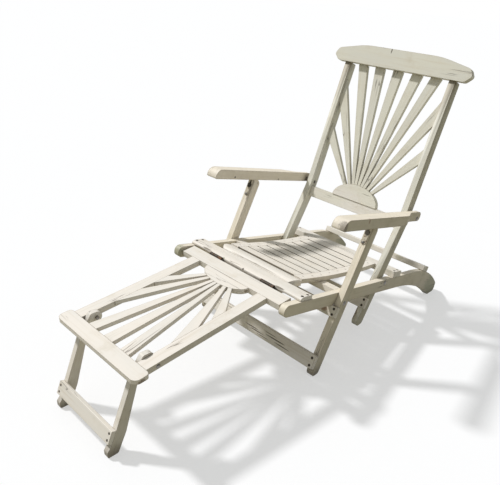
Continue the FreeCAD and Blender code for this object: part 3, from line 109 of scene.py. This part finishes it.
class Shader:
    """A material under construction; values may be sockets, numbers, vectors or colours."""

    def __init__(self, name):
        self.material = bpy.data.materials.new(name)
        self.material.use_nodes = True
        self.tree = self.material.node_tree
        self.tree.nodes.clear()
        self.colour = None

    def add(self, kind, inputs=None, **settings):
        node = self.tree.nodes.new("ShaderNode" + kind)
        for key, value in settings.items():
            setattr(node, key, value)
        for key, value in (inputs or {}).items():
            self.feed(node.inputs[key], value)
        return node

    def feed(self, socket, value):
        if isinstance(value, bpy.types.NodeSocket):
            self.tree.links.new(value, socket)
        else:
            socket.default_value = value

    def math(self, operation, a, b=0.0, clamp=False):
        return self.add("Math", {0: a, 1: b}, operation=operation, use_clamp=clamp).outputs[0]

    def plus(self, a, b):
        return self.math("ADD", a, b)

    def minus(self, a, b):
        return self.math("SUBTRACT", a, b)

    def times(self, a, b):
        return self.math("MULTIPLY", a, b)

    def swing(self, noise, amount, middle=0.5):
        """A noise as a swing around nothing."""
        return self.times(self.minus(noise, middle), amount)

    def vector(self, operation, a, b=(0, 0, 0)):
        node = self.add("VectorMath", {0: a, 1: b}, operation=operation)
        return node.outputs["Value" if operation in ("DISTANCE", "DOT_PRODUCT", "LENGTH") else "Vector"]

    def step(self, value, low, high):
        """Smooth step from 0 at low to 1 at high; high may be the smaller one."""
        rising = low < high
        inputs = {"Value": value, "From Min": min(low, high), "From Max": max(low, high),
                  "To Min": 0.0 if rising else 1.0, "To Max": 1.0 if rising else 0.0}
        return self.add("MapRange", inputs, interpolation_type="SMOOTHSTEP").outputs[0]

    def noise(self, place, scale, detail=2.0, roughness=0.5, distortion=0.0):
        scaled = self.vector("MULTIPLY", place, scale)
        inputs = {"Vector": scaled, "Scale": 1.0, "Detail": detail, "Roughness": roughness,
                  "Distortion": distortion}
        return self.add("TexNoise", inputs).outputs["Fac"]

    def mix(self, factor, a, b):
        node = self.add("Mix", data_type="RGBA")
        for socket, value in ((node.inputs[0], factor), (node.inputs[6], a), (node.inputs[7], b)):
            self.feed(socket, value)
        return node.outputs[2]

    def cover(self, amount, colour):
        """Lays a colour over the colour so far."""
        self.colour = self.mix(amount, self.colour, colour)

    def place(self):
        return self.add("TexCoord").outputs["Object"]

    def true_normal(self):
        return self.add("NewGeometry").outputs["True Normal"]

    def rounded(self, radius):
        return self.add("Bevel", {"Radius": radius}, samples=4).outputs[0]

    def edge(self, rounded, true_normal):
        """0 on a flat face, rising towards an edge."""
        return self.minus(1.0, self.vector("DOT_PRODUCT", rounded, true_normal))

    def open_sky(self, reach, samples):
        return self.add("AmbientOcclusion", {"Distance": reach}, samples=samples).outputs["AO"]

    def bump(self, height, rounded, strength, depth):
        inputs = {"Height": height, "Normal": rounded, "Strength": strength, "Distance": depth}
        return self.add("Bump", inputs).outputs[0]

    def finish(self, roughness, normal, metallic=0.0):
        surface = self.add("BsdfPrincipled", {"Base Color": self.colour, "Roughness": roughness,
                                              "Normal": normal, "Metallic": metallic})
        self.add("OutputMaterial", {"Surface": surface.outputs[0]})
        return self.material


def grain_turn(grain):
    """Euler turn that brings a board's grain onto X."""
    along = Vector(grain).normalized()
    helper = Vector((0, 0, 1)) if abs(along.z) < 0.9 else Vector((1, 0, 0))
    side = helper.cross(along).normalized()
    return Matrix((along, side, along.cross(side))).to_euler()


class Paint(Shader):
    """Old brushed paint on one board. Each method lays one more layer over the colour so far: age, and in
    some methods painted shade.
    """

    def __init__(self, node, grain, seed):
        super().__init__("paint_" + node)
        self.where = self.place()
        self.turn = grain_turn(grain)
        shift = tuple(seed * part for part in SEED_SHIFT)
        turned = self.turned_to_grain(self.where, Location=shift)
        self.normal = self.true_normal()
        self.round_normal = self.rounded(EDGE_RADIUS)
        self.worn_edge = self.edge(self.rounded(WORN_EDGE_RADIUS), self.normal)
        self.noises = {name: self.noise(turned, **settings) for name, settings in ALONG_GRAIN.items()}
        self.cloud = self.noise(self.where, **CLOUD)
        self.streak, self.patch = self.noises["streak"], self.noises["patch"]

    def turned_to_grain(self, vector, **inputs):
        return self.add("Mapping", {"Vector": vector, "Rotation": self.turn, **inputs}).outputs[0]

    def brush(self, coat, tone, grime_and_shade):
        """Two paint colours in broad areas, with yellowed brush streaks and clouds."""
        self.colour = self.mix(self.step(self.noises["broad"], low=0.38, high=0.62), *coat)
        if tone != 1.0:
            self.cover(1.0 - tone, WEATHERED_AND_SHADED)
        self.cover(self.times(self.step(self.streak, low=0.46, high=0.72), 0.32), YELLOWED)
        self.cover(self.times(self.step(self.cloud, low=0.50, high=0.72), 0.12 + 0.36 * grime_and_shade), YELLOWED)

    def weather_and_shade_outer_faces(self, outer_weather_and_shade):
        """Darkens the faces that look away from the chair's middle: weathering, and painted shade for the
        shade that these outer faces are in.
        """
        facing_x = self.add("SeparateXYZ", {0: self.normal}).outputs[0]
        outward = self.times(facing_x, self.add("SeparateXYZ", {0: self.where}).outputs[0])
        uneven = self.plus(0.55, self.times(self.cloud, 0.7))
        facing = self.times(self.step(outward, low=0.06, high=0.11), uneven)
        # Weathering and painted shade on the outer faces
        self.cover(self.math("MULTIPLY", facing, outer_weather_and_shade, clamp=True), WEATHERED_AND_SHADED)

    def shade_slat_gaps(self, seams):
        """Painted shade on the narrow sides and edges of slats, for the dark gaps between them; seams is the
        direction that the slats face.
        """
        side = self.step(self.math("ABSOLUTE", self.vector("DOT_PRODUCT", self.normal, seams)),
                         low=0.80, high=0.45)
        side = self.math("MAXIMUM", side, self.times(self.step(self.worn_edge, low=0.02, high=0.16), 0.75))
        # Painted shade in the gaps between the slats
        self.cover(self.times(side, 0.85), DIRT_AND_SHADE)

    def dirt_and_corner_shade(self, grime_and_shade, mildew):
        """Faces that point down darker, dirt near the ground, painted shade in corners and joints, and green
        mildew.
        """
        below = self.step(self.vector("DOT_PRODUCT", self.normal, (0, 0, -1)), low=0.3, high=0.8)
        self.cover(self.times(below, 0.25 + 0.35 * grime_and_shade), WEATHERED_AND_SHADED)
        height = self.add("SeparateXYZ", {0: self.where}).outputs[2]
        foot = self.plus(height, self.swing(self.patch, 0.05))
        self.cover(self.times(self.step(foot, low=GROUND_DIRT_TOP, high=GROUND_DIRT_FULL), 0.65), DIRT_AND_SHADE)
        # Painted shade in corners and joints, where little open sky reaches
        corner_shade = self.plus(self.open_sky(CORNER_REACH, samples=6), self.swing(self.cloud, 0.5))
        self.cover(self.times(self.step(corner_shade, low=0.74, high=0.25), 0.40 + 0.50 * grime_and_shade), DIRT_AND_SHADE)
        if mildew > 0:
            spread = 0.16 * mildew
            green = self.step(self.cloud, low=0.60 - spread, high=0.78 - spread)
            self.cover(self.times(green, 0.75 * mildew), MILDEW)

    def wear(self, wear, rim):
        """Paint flaked off in chips that follow the grain, rubbed edges, and a dark rim on sharp ones."""
        amount = self.plus(self.times(self.patch, 0.9), self.times(self.worn_edge, 0.80))
        self.bare = self.step(amount, low=0.79 - 0.12 * wear, high=0.85 - 0.10 * wear)
        wood = self.mix(self.step(self.streak, low=0.40, high=0.62), BARE_WOOD, SILVERED_WOOD)
        self.cover(self.times(self.bare, 0.60 + 0.35 * wear), wood)
        rubbed = self.step(self.plus(self.worn_edge, self.times(self.patch, 0.3)), low=0.22, high=0.42)
        self.cover(self.times(rubbed, 0.20 + 0.35 * wear), SILVERED_WOOD)
        dark_rim = self.step(self.plus(self.worn_edge, self.swing(self.patch, 0.35)), low=0.13, high=0.24)
        self.cover(self.times(dark_rim, rim), BARE_WOOD)

    def crack(self, cracks):
        """Fine cracks along the grain, in some areas of the board."""
        from_line = self.math("ABSOLUTE", self.minus(self.noises["crack_lines"], 0.5))
        thin = self.step(from_line, low=0.0125, high=0.0035)
        spread = 0.16 * cracks
        area = self.step(self.noises["cracked_areas"], low=0.66 - spread, high=0.72 - spread)
        self.cracked = self.times(thin, area)
        self.cover(self.times(self.cracked, 0.35 + 0.55 * cracks), CRACK)

    def single(self, mark):
        """One mark that the photograph shows, drawn out along the grain, with a ragged rim."""
        offset = self.turned_to_grain(self.vector("SUBTRACT", self.where, mark["at"]))
        along, across = mark["size"]
        reach = self.vector("LENGTH", self.vector("DIVIDE", offset, (along, across, across)))
        rough_rim = self.plus(self.times(self.streak, 1.4), self.times(self.patch, 0.6))
        reach = self.plus(reach, self.swing(rough_rim, mark["ragged"], middle=1.0))
        self.cover(self.times(self.step(reach, low=1.0, high=0.5), mark["strength"]), mark["colour"])

    def close(self):
        """Relief of brush, fibre, chips and cracks, and a roughness that follows them."""
        height = self.times(self.noises["fibre"], 0.25)
        for part, weight in ((self.streak, 0.55), (self.bare, -0.55), (self.cracked, -0.9)):
            height = self.plus(height, self.times(part, weight))
        roughness = self.plus(0.50, self.times(self.streak, 0.16))
        roughness = self.plus(roughness, self.times(self.bare, 0.18))
        return self.finish(roughness, self.bump(height, self.round_normal, strength=0.6, depth=0.0008))


def painted_wood(node, grain, seed, coat=NEUTRAL, tone=1.0, wear=0.5, grime_and_shade=0.5, mildew=0.1, cracks=0.4,
                 outer_weather_and_shade=0.0, rim=0.25, seams=None, marks=()):
    paint = Paint(node, grain, seed)
    paint.brush(coat, tone, grime_and_shade)
    if outer_weather_and_shade > 0:
        paint.weather_and_shade_outer_faces(outer_weather_and_shade)
    if seams:
        paint.shade_slat_gaps(seams)
    paint.dirt_and_corner_shade(grime_and_shade, mildew)
    paint.wear(wear, rim)
    paint.crack(cracks)
    for mark in marks:
        paint.single(mark)
    return paint.close()


def old_metal(name, base, rust, roughness, painted=0.0, shade_spots=()):
    """Dull metal with rust and, where painted is above 0, flaking paint over it, with painted shade in its
    corners and at the given shade spots.
    """
    s = Shader(name)
    place = s.place()
    rounded = s.rounded(METAL_EDGE_RADIUS)
    edge = s.edge(rounded, s.true_normal())
    spots = s.noise(place, **METAL_SPOTS)
    blend = s.plus(s.times(spots, 0.6), s.times(s.noise(place, **METAL_CLOUDS), 0.4))
    rusty = s.step(blend, low=0.64 - 0.22 * rust, high=0.72 - 0.18 * rust)
    darker = tuple(0.55 * part for part in base[:3]) + (1,)
    s.colour = s.mix(s.step(spots, low=0.35, high=0.7), base, darker)
    s.cover(rusty, RUST)
    dull = rusty
    if painted > 0:
        spread = 0.22 * painted
        still_on = s.step(s.plus(blend, s.times(edge, 0.5)), low=0.44 + spread, high=0.38 + spread)
        s.cover(s.times(still_on, 0.92), PAINT_ON_METAL)
        dull = s.math("MAXIMUM", rusty, still_on)
    # Painted shade in the corners of the metal
    corner_shade = s.step(s.open_sky(METAL_CORNER_REACH, samples=4), low=0.7, high=0.2)
    s.cover(s.times(corner_shade, 0.75), SHADOW_DIRT)
    # Painted shade of the hollows behind the straps
    for at, radius in shade_spots:
        reach = s.math("DIVIDE", s.vector("DISTANCE", place, at), radius)
        reach = s.plus(reach, s.swing(spots, 0.6))
        s.cover(s.times(s.step(reach, low=1.0, high=0.75), 0.95), SHADOW_DIRT)
    dull_roughness = 0.85
    rough = s.plus(roughness, s.times(dull, dull_roughness - roughness))
    metallic = s.minus(0.85, s.times(dull, 0.85))
    return s.finish(rough, s.bump(spots, rounded, strength=0.5, depth=0.0005), metallic)


# What each board looks like

def sloped(degrees):
    turn = math.radians(degrees)
    return (0.0, math.cos(turn), math.sin(turn))


def long_axis(node):
    """Direction in which a straight piece is longest."""
    places = np.array([v.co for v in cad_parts[node].data.vertices], float)
    values, axes = np.linalg.eigh(np.cov((places - places.mean(0)).T))
    return tuple(axes[:, -1])


ACROSS = (1.0, 0.0, 0.0)

# Grain direction and ageing of each painted board, or of each family of boards. A ray's grain is its
# own length.
BOARDS = {
    # The outer-face darkening of these boards is weathering and painted shade together
    "side_rail_": dict(grain=sloped(SEAT_SLOPE), coat=WARM_BOUNCE_COAT, tone=0.96, wear=0.65, grime_and_shade=0.6, mildew=0.25,
                       outer_weather_and_shade=0.50),
    "front_cross_board": dict(grain=ACROSS, wear=0.85, grime_and_shade=0.45, mildew=0.0, rim=0.6),
    "front_bearer": dict(grain=ACROSS, tone=0.85, wear=0.3, grime_and_shade=0.9, mildew=0.2),
    "under_seat_rail": dict(grain=ACROSS, tone=0.85, wear=0.3, grime_and_shade=0.9, mildew=0.3),
    "rear_cross_bar": dict(grain=ACROSS, tone=0.95, wear=0.7, grime_and_shade=0.6, mildew=0.35),
    "tail_cross_bar": dict(grain=ACROSS, tone=0.92, wear=0.7, grime_and_shade=0.7, mildew=0.5),
    "seat_front_rail": dict(grain=ACROSS, wear=0.55, mildew=0.0),
    "seat_side_rail_": dict(grain=sloped(SEAT_SLOPE), wear=0.55, outer_weather_and_shade=0.45),
    "seat_slats": dict(grain=ACROSS, tone=0.96, wear=0.55, mildew=0.05, seams=sloped(90 + SEAT_SLOPE)),
    "back_post_": dict(grain=sloped(BACK_SLOPE), coat=COOL_SHADE_COAT, mildew=0.2, outer_weather_and_shade=0.75),
    "rear_stretcher": dict(grain=ACROSS, tone=0.88, grime_and_shade=0.8, mildew=0.4),
    "crest_rail": dict(grain=ACROSS, coat=COOL_SHADE_COAT, tone=0.97, grime_and_shade=0.4, cracks=0.5, rim=0.45),
    "back_sun_rail": dict(grain=ACROSS, coat=(CHALK, COOL_SHADE_CREAM), grime_and_shade=0.3),
    "back_sun_disc": dict(grain=ACROSS, coat=(CHALK, COOL_SHADE_CREAM), grime_and_shade=0.3),
    "front_leg_": dict(grain=sloped(LEG_SLOPE), coat=WARM_BOUNCE_COAT, tone=0.98, wear=0.6, mildew=0.2, cracks=0.5,
                       outer_weather_and_shade=0.60),
    "front_stretcher": dict(grain=ACROSS, wear=0.7, grime_and_shade=0.35, mildew=0.1, cracks=0.9),
    "leg_stop_bar": dict(grain=ACROSS, tone=0.88, grime_and_shade=0.8, mildew=0.3),
    "arm_": dict(grain=sloped(ARM_SLOPE), coat=WARM_BOUNCE_COAT, tone=0.97, wear=0.75, grime_and_shade=0.4, outer_weather_and_shade=0.65, rim=1.0),
    "footrest_rear_rail": dict(grain=ACROSS, grime_and_shade=0.4, mildew=0.0),
    "footrest_side_rail_": dict(grain=sloped(FOOTREST_SLOPE), wear=0.6, grime_and_shade=0.4, outer_weather_and_shade=0.35),
    "footrest_front_board": dict(grain=ACROSS, wear=0.85, grime_and_shade=0.35, rim=0.5),
    "footrest_sun_disc": dict(grain=ACROSS, grime_and_shade=0.3, mildew=0.0),
    "footrest_leg_stretcher": dict(grain=ACROSS, grime_and_shade=0.4),
    "footrest_leg_": dict(grain=sloped(FOOT_LEG_SLOPE), tone=0.96, wear=0.65, mildew=0.15, outer_weather_and_shade=0.40),
    "back_ray_": dict(coat=COOL_SHADE_COAT, tone=0.97, grime_and_shade=0.35),
    "footrest_ray_": dict(grime_and_shade=0.35, mildew=0.0),
    "seat_slat_pins": dict(grain=ACROSS, tone=0.90, wear=0.2, grime_and_shade=0.9, mildew=0.0),
}


def mark(at, size, colour, strength=0.9, ragged=0.9):
    """A single mark at a place on a board; size is its half length along and across the grain."""
    return dict(at=at, size=size, colour=colour, strength=strength, ragged=ragged)


# Long cracks of the front stretcher: place, and half length along and across
STRETCHER_CRACKS = [
    ((-0.0050, -0.1195, 0.0598), (0.040, 0.0017)),
    ((0.0250, -0.1220, 0.0542), (0.044, 0.0020)),
    ((0.0520, -0.1245, 0.0485), (0.036, 0.0016)),
    ((0.0850, -0.1150, 0.0698), (0.044, 0.0018)),
    ((0.1120, -0.1185, 0.0620), (0.046, 0.0022)),
    ((0.1430, -0.1225, 0.0532), (0.040, 0.0018)),
]

# Single marks that the photograph shows
MARKS = {
    # Painted shade of bolt holes in the inner side
    "arm_left": [
        mark((-0.2545, -0.0084, 0.5370), (0.0045, 0.0045), SHADOW_DIRT, 1.0, ragged=0.2),
        mark((-0.2545, 0.2432, 0.4831), (0.0040, 0.0040), SHADOW_DIRT, ragged=0.2),
    ],
    # Rust around the hinge and a dark run beside it
    "arm_right": [
        mark((0.3010, 0.0336, 0.5494), (0.006, 0.014), RUST, 0.6),
        mark((0.3005, -0.1000, 0.5600), (0.012, 0.030), CRACK, 0.6),
    ],
    # A notch in the top edge and a split at the right end
    "crest_rail": [
        mark((-0.0436, 0.5722, 0.9990), (0.0028, 0.014), CRACK, ragged=0.4),
        mark((0.2400, 0.5630, 0.9690), (0.050, 0.0012), CRACK, 0.7, ragged=0.4),
    ],
    "front_stretcher": [mark(at, size, CRACK, 0.95, ragged=1.6) for at, size in STRETCHER_CRACKS],
    # Rust where the strap touches it
    "leg_stop_bar": [
        mark((0.2335, -0.0353, 0.2252), (0.016, 0.012), RUST, 0.7),
    ],
    # A split and mildew at the tail, and yellowed paint at the front end
    "side_rail_right": [
        mark((0.2575, 0.8080, 0.0330), (0.060, 0.0030), CRACK, 0.8),
        mark((0.2575, 0.8000, 0.0500), (0.120, 0.070), MILDEW, 0.6),
        mark((0.2400, -0.2400, 0.3000), (0.050, 0.020), YELLOWED, 0.6),
    ],
    # Mildew at the tail and at the front end
    "side_rail_left": [
        mark((-0.2575, 0.8000, 0.0500), (0.120, 0.070), MILDEW, 0.6),
        mark((-0.2450, -0.2800, 0.3200), (0.030, 0.030), MILDEW, 0.6),
    ],
    # Dirt and chips on the nosing
    "front_cross_board": [
        mark((-0.1770, -0.2030, 0.3300), (0.040, 0.0045), DIRT_AND_SHADE, ragged=1.8),
        mark((0.1650, -0.2030, 0.3300), (0.024, 0.0045), DIRT_AND_SHADE, ragged=1.8),
        mark((0.0043, -0.2045, 0.3285), (0.005, 0.0050), CRACK),
        mark((-0.0900, -0.2035, 0.3300), (0.006, 0.0045), MILDEW),
    ],
    # Painted shade in front of the roll and before the first slat
    "seat_front_rail": [
        mark((0.0, -0.1440, 0.3290), (0.170, 0.0050), DIRT_AND_SHADE, 0.75, ragged=0.5),
        mark((0.0, -0.0900, 0.3240), (0.140, 0.0055), DIRT_AND_SHADE, 0.75, ragged=0.4),
    ],
    # The joint with the rear rail, and a bare end
    "footrest_sun_disc": [
        mark((0.0, -0.2715, 0.3212), (0.098, 0.0028), CRACK, ragged=0.5),
        mark((0.0900, -0.2800, 0.3120), (0.020, 0.0080), BARE_WOOD, 0.8),
    ],
    # Bare and weathered corners
    "footrest_front_board": [
        mark((0.1900, -0.7480, 0.2590), (0.030, 0.014), BARE_WOOD),
        mark((-0.1900, -0.7450, 0.2590), (0.012, 0.010), WEATHERED_AND_SHADED, 0.8),
    ],
    # Painted shade of the hollows under the arms
    "front_leg_right": [
        mark((0.2695, 0.0930, 0.4880), (0.012, 0.008), SHADOW_DIRT, ragged=0.5),
    ],
    "front_leg_left": [
        mark((-0.2695, 0.0930, 0.4880), (0.012, 0.008), SHADOW_DIRT, ragged=0.5),
    ],
}

# Metal pieces; the straps at the tops of the front legs get painted shade for the hollows behind them
HOLLOW_SHADE_RADIUS = 0.014
painted_hollow_shade = [((x, 0.0890, 0.4870), HOLLOW_SHADE_RADIUS) for x in (-0.270, 0.270)]
steel = old_metal("dull_steel", (0.300, 0.285, 0.260, 1), rust=0.45, roughness=0.42)
iron = old_metal("dark_iron", (0.090, 0.078, 0.066, 1), rust=0.60, roughness=0.60)
strap_iron = old_metal("painted_iron", (0.120, 0.100, 0.080, 1), rust=0.45, roughness=0.60, painted=0.75,
                       shade_spots=painted_hollow_shade)
screw_metal = old_metal("dark_screws", (0.070, 0.060, 0.050, 1), rust=0.45, roughness=0.60)
METAL = {
    "leg_hinge_fittings": strap_iron,
    "arm_hinge_plate_left": iron,
    "arm_hinge_plate_right": iron,
    "footrest_hinge_frame_leaves": iron,
    "footrest_hinge_moving_leaves": iron,
    "rail_pivot_bolts": steel,
    "arm_pivot_bolts": steel,
    "lug_bolts": steel,
}


# Boards whose edges are shaped further than in the CAD

def moulded(node, body, mesh):
    """The object of a changed copy of a CAD board, which stands for the board and rides on its body."""
    data = bpy.data.meshes.new(node + "_moulded")
    mesh.to_mesh(data)
    mesh.free()
    data.shade_smooth()
    data.set_sharp_from_angle(angle=math.radians(35))
    piece = bpy.data.objects.new(node + "_moulded", data)
    bpy.context.collection.objects.link(piece)
    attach(piece, body)
    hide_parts(node)
    return piece


def all_parts(mesh):
    return mesh.verts[:] + mesh.edges[:] + mesh.faces[:]


def reshaped(node, drop):
    """A copy of a board across the seat frame, whose top comes down by drop at each distance from its
    front edge."""
    step = 0.0015
    along, above = Vector(sloped(SEAT_SLOPE)), Vector(sloped(90 + SEAT_SLOPE))
    board = bmesh.new()
    board.from_mesh(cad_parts[node].data)
    front = min(vertex.co.dot(along) for vertex in board.verts)
    rear = max(vertex.co.dot(along) for vertex in board.verts)
    top = max(vertex.co.dot(above) for vertex in board.verts)
    for cut in np.arange(front + step, rear, step):
        bmesh.ops.bisect_plane(board, geom=all_parts(board), plane_co=along * float(cut), plane_no=along)
    for vertex in board.verts:
        level = top - drop(vertex.co.dot(along) - front)
        vertex.co -= above * max(0.0, vertex.co.dot(above) - level)
    return moulded(node, "seat_frame", board)


def quarter_round(distance, reach, depth):
    """Drop of an elliptical edge at a distance from its front."""
    short = max(0.0, reach - distance) / reach
    return depth * (1 - math.sqrt(1 - min(1.0, short) ** 2))


def nosing(distance):
    """Drop of the front cross board: a long elliptical nosing."""
    return quarter_round(distance, reach=0.022, depth=0.0085)


def seat_roll(distance):
    """Drop of the seat's front rail: a full roll in front and a slope down to the first slat."""
    radius, crown, slope_depth, slope_end = 0.018, 0.026, 0.0050, 0.050
    behind = min(1.0, max(0.0, distance - crown) / (slope_end - crown))
    return quarter_round(distance, radius, radius) + slope_depth * behind ** 1.5


def round_ended(node, body, slope):
    """A copy of a leg whose lower end is rounder, as wear has left it, above a narrow sole."""
    facets, sunk, end_height, same_place = 20, 0.003, 0.015, 1e-6
    along, outward = Vector(sloped(slope)), Vector(sloped(90 + slope))
    leg = bmesh.new()
    leg.from_mesh(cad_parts[node].data)
    bmesh.ops.remove_doubles(leg, verts=leg.verts, dist=same_place)
    sole = min(vertex.co.z for vertex in leg.verts)
    depths = [vertex.co.dot(outward) for vertex in leg.verts if vertex.co.z < sole + end_height]
    radius, middle = (max(depths) - min(depths)) / 2, (max(depths) + min(depths)) / 2
    centre = outward * middle + along * ((sole - sunk + radius - outward.z * middle) / along.z)
    for facet in range(1, facets):
        turn = math.pi * facet / facets
        facing = outward * math.cos(turn) - along * math.sin(turn)
        cut = bmesh.ops.bisect_plane(leg, geom=all_parts(leg), plane_co=centre + facing * radius,
                                     plane_no=facing, clear_outer=True)["geom_cut"]
        rim = [part for part in cut if isinstance(part, bmesh.types.BMEdge)]
        if rim:
            bmesh.ops.edgeloop_fill(leg, edges=rim)
    bmesh.ops.recalc_face_normals(leg, faces=leg.faces)
    return moulded(node, body, leg)


MOULDED = {"front_cross_board": reshaped("front_cross_board", nosing),
           "seat_front_rail": reshaped("seat_front_rail", seat_roll)}
for hand in ("left", "right"):
    MOULDED["front_leg_" + hand] = round_ended("front_leg_" + hand, "front_legs", LEG_SLOPE)
    MOULDED["back_post_" + hand] = round_ended("back_post_" + hand, "back", POST_FOOT_SLOPE)


# Every node gets its finish

def board_key(node):
    """The longest name in BOARDS that is this node's, or its family's."""
    found = [key for key in BOARDS if node == key or (key.endswith("_") and node.startswith(key))]
    return max(found, key=len)


def finish_of(node, seed):
    if node in METAL:
        return METAL[node]
    if node.endswith("screws"):
        return screw_metal
    looks = dict(BOARDS[board_key(node)])
    if "grain" not in looks:
        looks["grain"] = long_axis(node)
    return painted_wood(node, seed=seed, marks=MARKS.get(node, ()), **looks)


for seed, node in enumerate(sorted(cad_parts), start=1):
    piece = MOULDED.get(node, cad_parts[node])
    piece.data.materials.clear()
    piece.data.materials.append(finish_of(node, seed))


# Screws on the straps

def round_head(name, radius=0.0062, rise=0.0032, rings=6, sides=28):
    """Mesh of a round screw head that stands on the XY plane."""
    mesh = bmesh.new()
    rows = []
    for ring in range(rings + 1):
        lean = math.pi / 2 * ring / rings
        reach, height = radius * math.cos(lean), rise * math.sin(lean)
        turns = [2 * math.pi * k / sides for k in range(sides)]
        rows.append([mesh.verts.new((reach * math.cos(turn), reach * math.sin(turn), height))
                     for turn in turns])
    for low, high in zip(rows, rows[1:]):
        for k in range(sides):
            mesh.faces.new((low[k], low[(k + 1) % sides], high[(k + 1) % sides], high[k]))
    bmesh.ops.remove_doubles(mesh, verts=mesh.verts, dist=1e-5)
    for face in mesh.faces:
        face.smooth = True
    mesh.faces.new(list(reversed([vertex for vertex in mesh.verts if vertex.co.z < 1e-6])))
    data = bpy.data.meshes.new(name)
    mesh.to_mesh(data)
    mesh.free()
    return data


def strap_screws():
    """A large round-head screw on the strap at the top of each front leg."""
    outward = Vector(sloped(90 + LEG_SLOPE))
    turn = outward.to_track_quat("Z", "Y").to_matrix().to_4x4()
    strap_x, strap_y, strap_z, sunk = 0.2685, 0.0738, 0.4528, 0.0002
    for name, x in (("strap_screw_left", -strap_x), ("strap_screw_right", strap_x)):
        screw = bpy.data.objects.new(name, round_head(name))
        bpy.context.collection.objects.link(screw)
        screw.matrix_world = Matrix.Translation(Vector((x, strap_y, strap_z)) - outward * sunk) @ turn
        screw.data.materials.append(steel)
        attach(screw, "front_legs")


strap_screws()


# Floor, white background and soft light

FLOOR_BOUNCE = (0.30, 0.280, 0.175, 1)
FLOOR_SEEN = (0.955, 0.967, 1.0, 1)
SKY_COLOUR = (0.975, 0.99, 0.955, 1)
SKY_STRENGTH = 0.36
SUN_COLOUR = (1.0, 0.985, 0.965)
SUN_STRENGTH = 2.9
SUN_ANGLE = 5
SUN_DIRECTION = (0.628, 0.244, -0.739)
WHITE = (1, 1, 1, 1)


def plain_floor():
    """White to the camera, a mid grey-green for the light that it throws back up."""
    s = Shader("studio_floor")
    path = s.add("LightPath").outputs
    seen = s.math("MAXIMUM", path["Is Glossy Ray"], path["Is Transmission Ray"])
    seen = s.math("MAXIMUM", path["Is Camera Ray"], seen)
    bounce = s.add("BsdfDiffuse", {"Color": FLOOR_BOUNCE}).outputs[0]
    lit = s.add("BsdfDiffuse", {"Color": FLOOR_SEEN}).outputs[0]
    glow = s.add("Emission", {"Color": WHITE, "Strength": 1.0}).outputs[0]
    white = s.add("MixShader", {0: 0.5, 1: lit, 2: glow}).outputs[0]
    both = s.add("MixShader", {0: seen, 1: bounce, 2: white}).outputs[0]
    s.add("OutputMaterial", {"Surface": both})
    bpy.ops.mesh.primitive_plane_add(size=80, location=(0, 20, 0))
    floor = bpy.context.object
    floor.name = "studio_floor"
    floor.data.materials.append(s.material)


def soft_light():
    """A pale sky that the camera sees as white, and a soft sun."""
    world = bpy.data.worlds.new("studio")
    bpy.context.scene.world = world
    world.use_nodes = True
    tree = world.node_tree
    tree.nodes.clear()
    path = tree.nodes.new("ShaderNodeLightPath")
    sky = tree.nodes.new("ShaderNodeBackground")
    sky.inputs["Color"].default_value = SKY_COLOUR
    sky.inputs["Strength"].default_value = SKY_STRENGTH
    white = tree.nodes.new("ShaderNodeBackground")
    white.inputs["Color"].default_value = WHITE
    white.inputs["Strength"].default_value = 1.0
    choose = tree.nodes.new("ShaderNodeMixShader")
    out = tree.nodes.new("ShaderNodeOutputWorld")
    tree.links.new(path.outputs["Is Camera Ray"], choose.inputs[0])
    tree.links.new(sky.outputs[0], choose.inputs[1])
    tree.links.new(white.outputs[0], choose.inputs[2])
    tree.links.new(choose.outputs[0], out.inputs[0])

    lamp = bpy.data.lights.new("key", "SUN")
    lamp.energy = SUN_STRENGTH
    lamp.angle = math.radians(SUN_ANGLE)
    lamp.color = SUN_COLOUR
    key = bpy.data.objects.new("key", lamp)
    bpy.context.collection.objects.link(key)
    key.rotation_euler = Vector(SUN_DIRECTION).to_track_quat("-Z", "Y").to_euler()


# The camera that was fitted to the photograph's straight edges

CAMERA_PLACE = (1.076449, -1.388656, 1.173665)
CAMERA_AZIMUTH = 42.1271
CAMERA_ELEVATION = 26.0739
CAMERA_ROLL = 5.3394
FOCAL_LENGTH_PX = 542.418
CENTRE_SHIFT_PX = (5.086, 9.231)
PHOTO_WIDTH_PX = 500.0


def photo_camera():
    azimuth, elevation = math.radians(CAMERA_AZIMUTH), math.radians(CAMERA_ELEVATION)
    roll = math.radians(CAMERA_ROLL)
    forward = Vector((-math.sin(azimuth) * math.cos(elevation), math.cos(azimuth) * math.cos(elevation),
                      -math.sin(elevation)))
    right = Vector((math.cos(azimuth), math.sin(azimuth), 0))
    up = right.cross(forward)
    across = right * math.cos(roll) + up * math.sin(roll)
    above = up * math.cos(roll) - right * math.sin(roll)
    data = bpy.data.cameras.new("photo_camera")
    data.sensor_width = 36.0
    data.lens = FOCAL_LENGTH_PX / PHOTO_WIDTH_PX * data.sensor_width
    data.shift_x, data.shift_y = (shift / PHOTO_WIDTH_PX for shift in CENTRE_SHIFT_PX)
    data.clip_start, data.clip_end = 0.05, 200.0
    camera = bpy.data.objects.new("photo_camera", data)
    bpy.context.collection.objects.link(camera)
    turn = Matrix((across, above, -forward)).transposed().to_4x4()
    camera.matrix_world = Matrix.Translation(CAMERA_PLACE) @ turn
    bpy.context.scene.camera = camera


plain_floor()
soft_light()
photo_camera()
bpy.context.scene.view_settings.view_transform = "Standard"
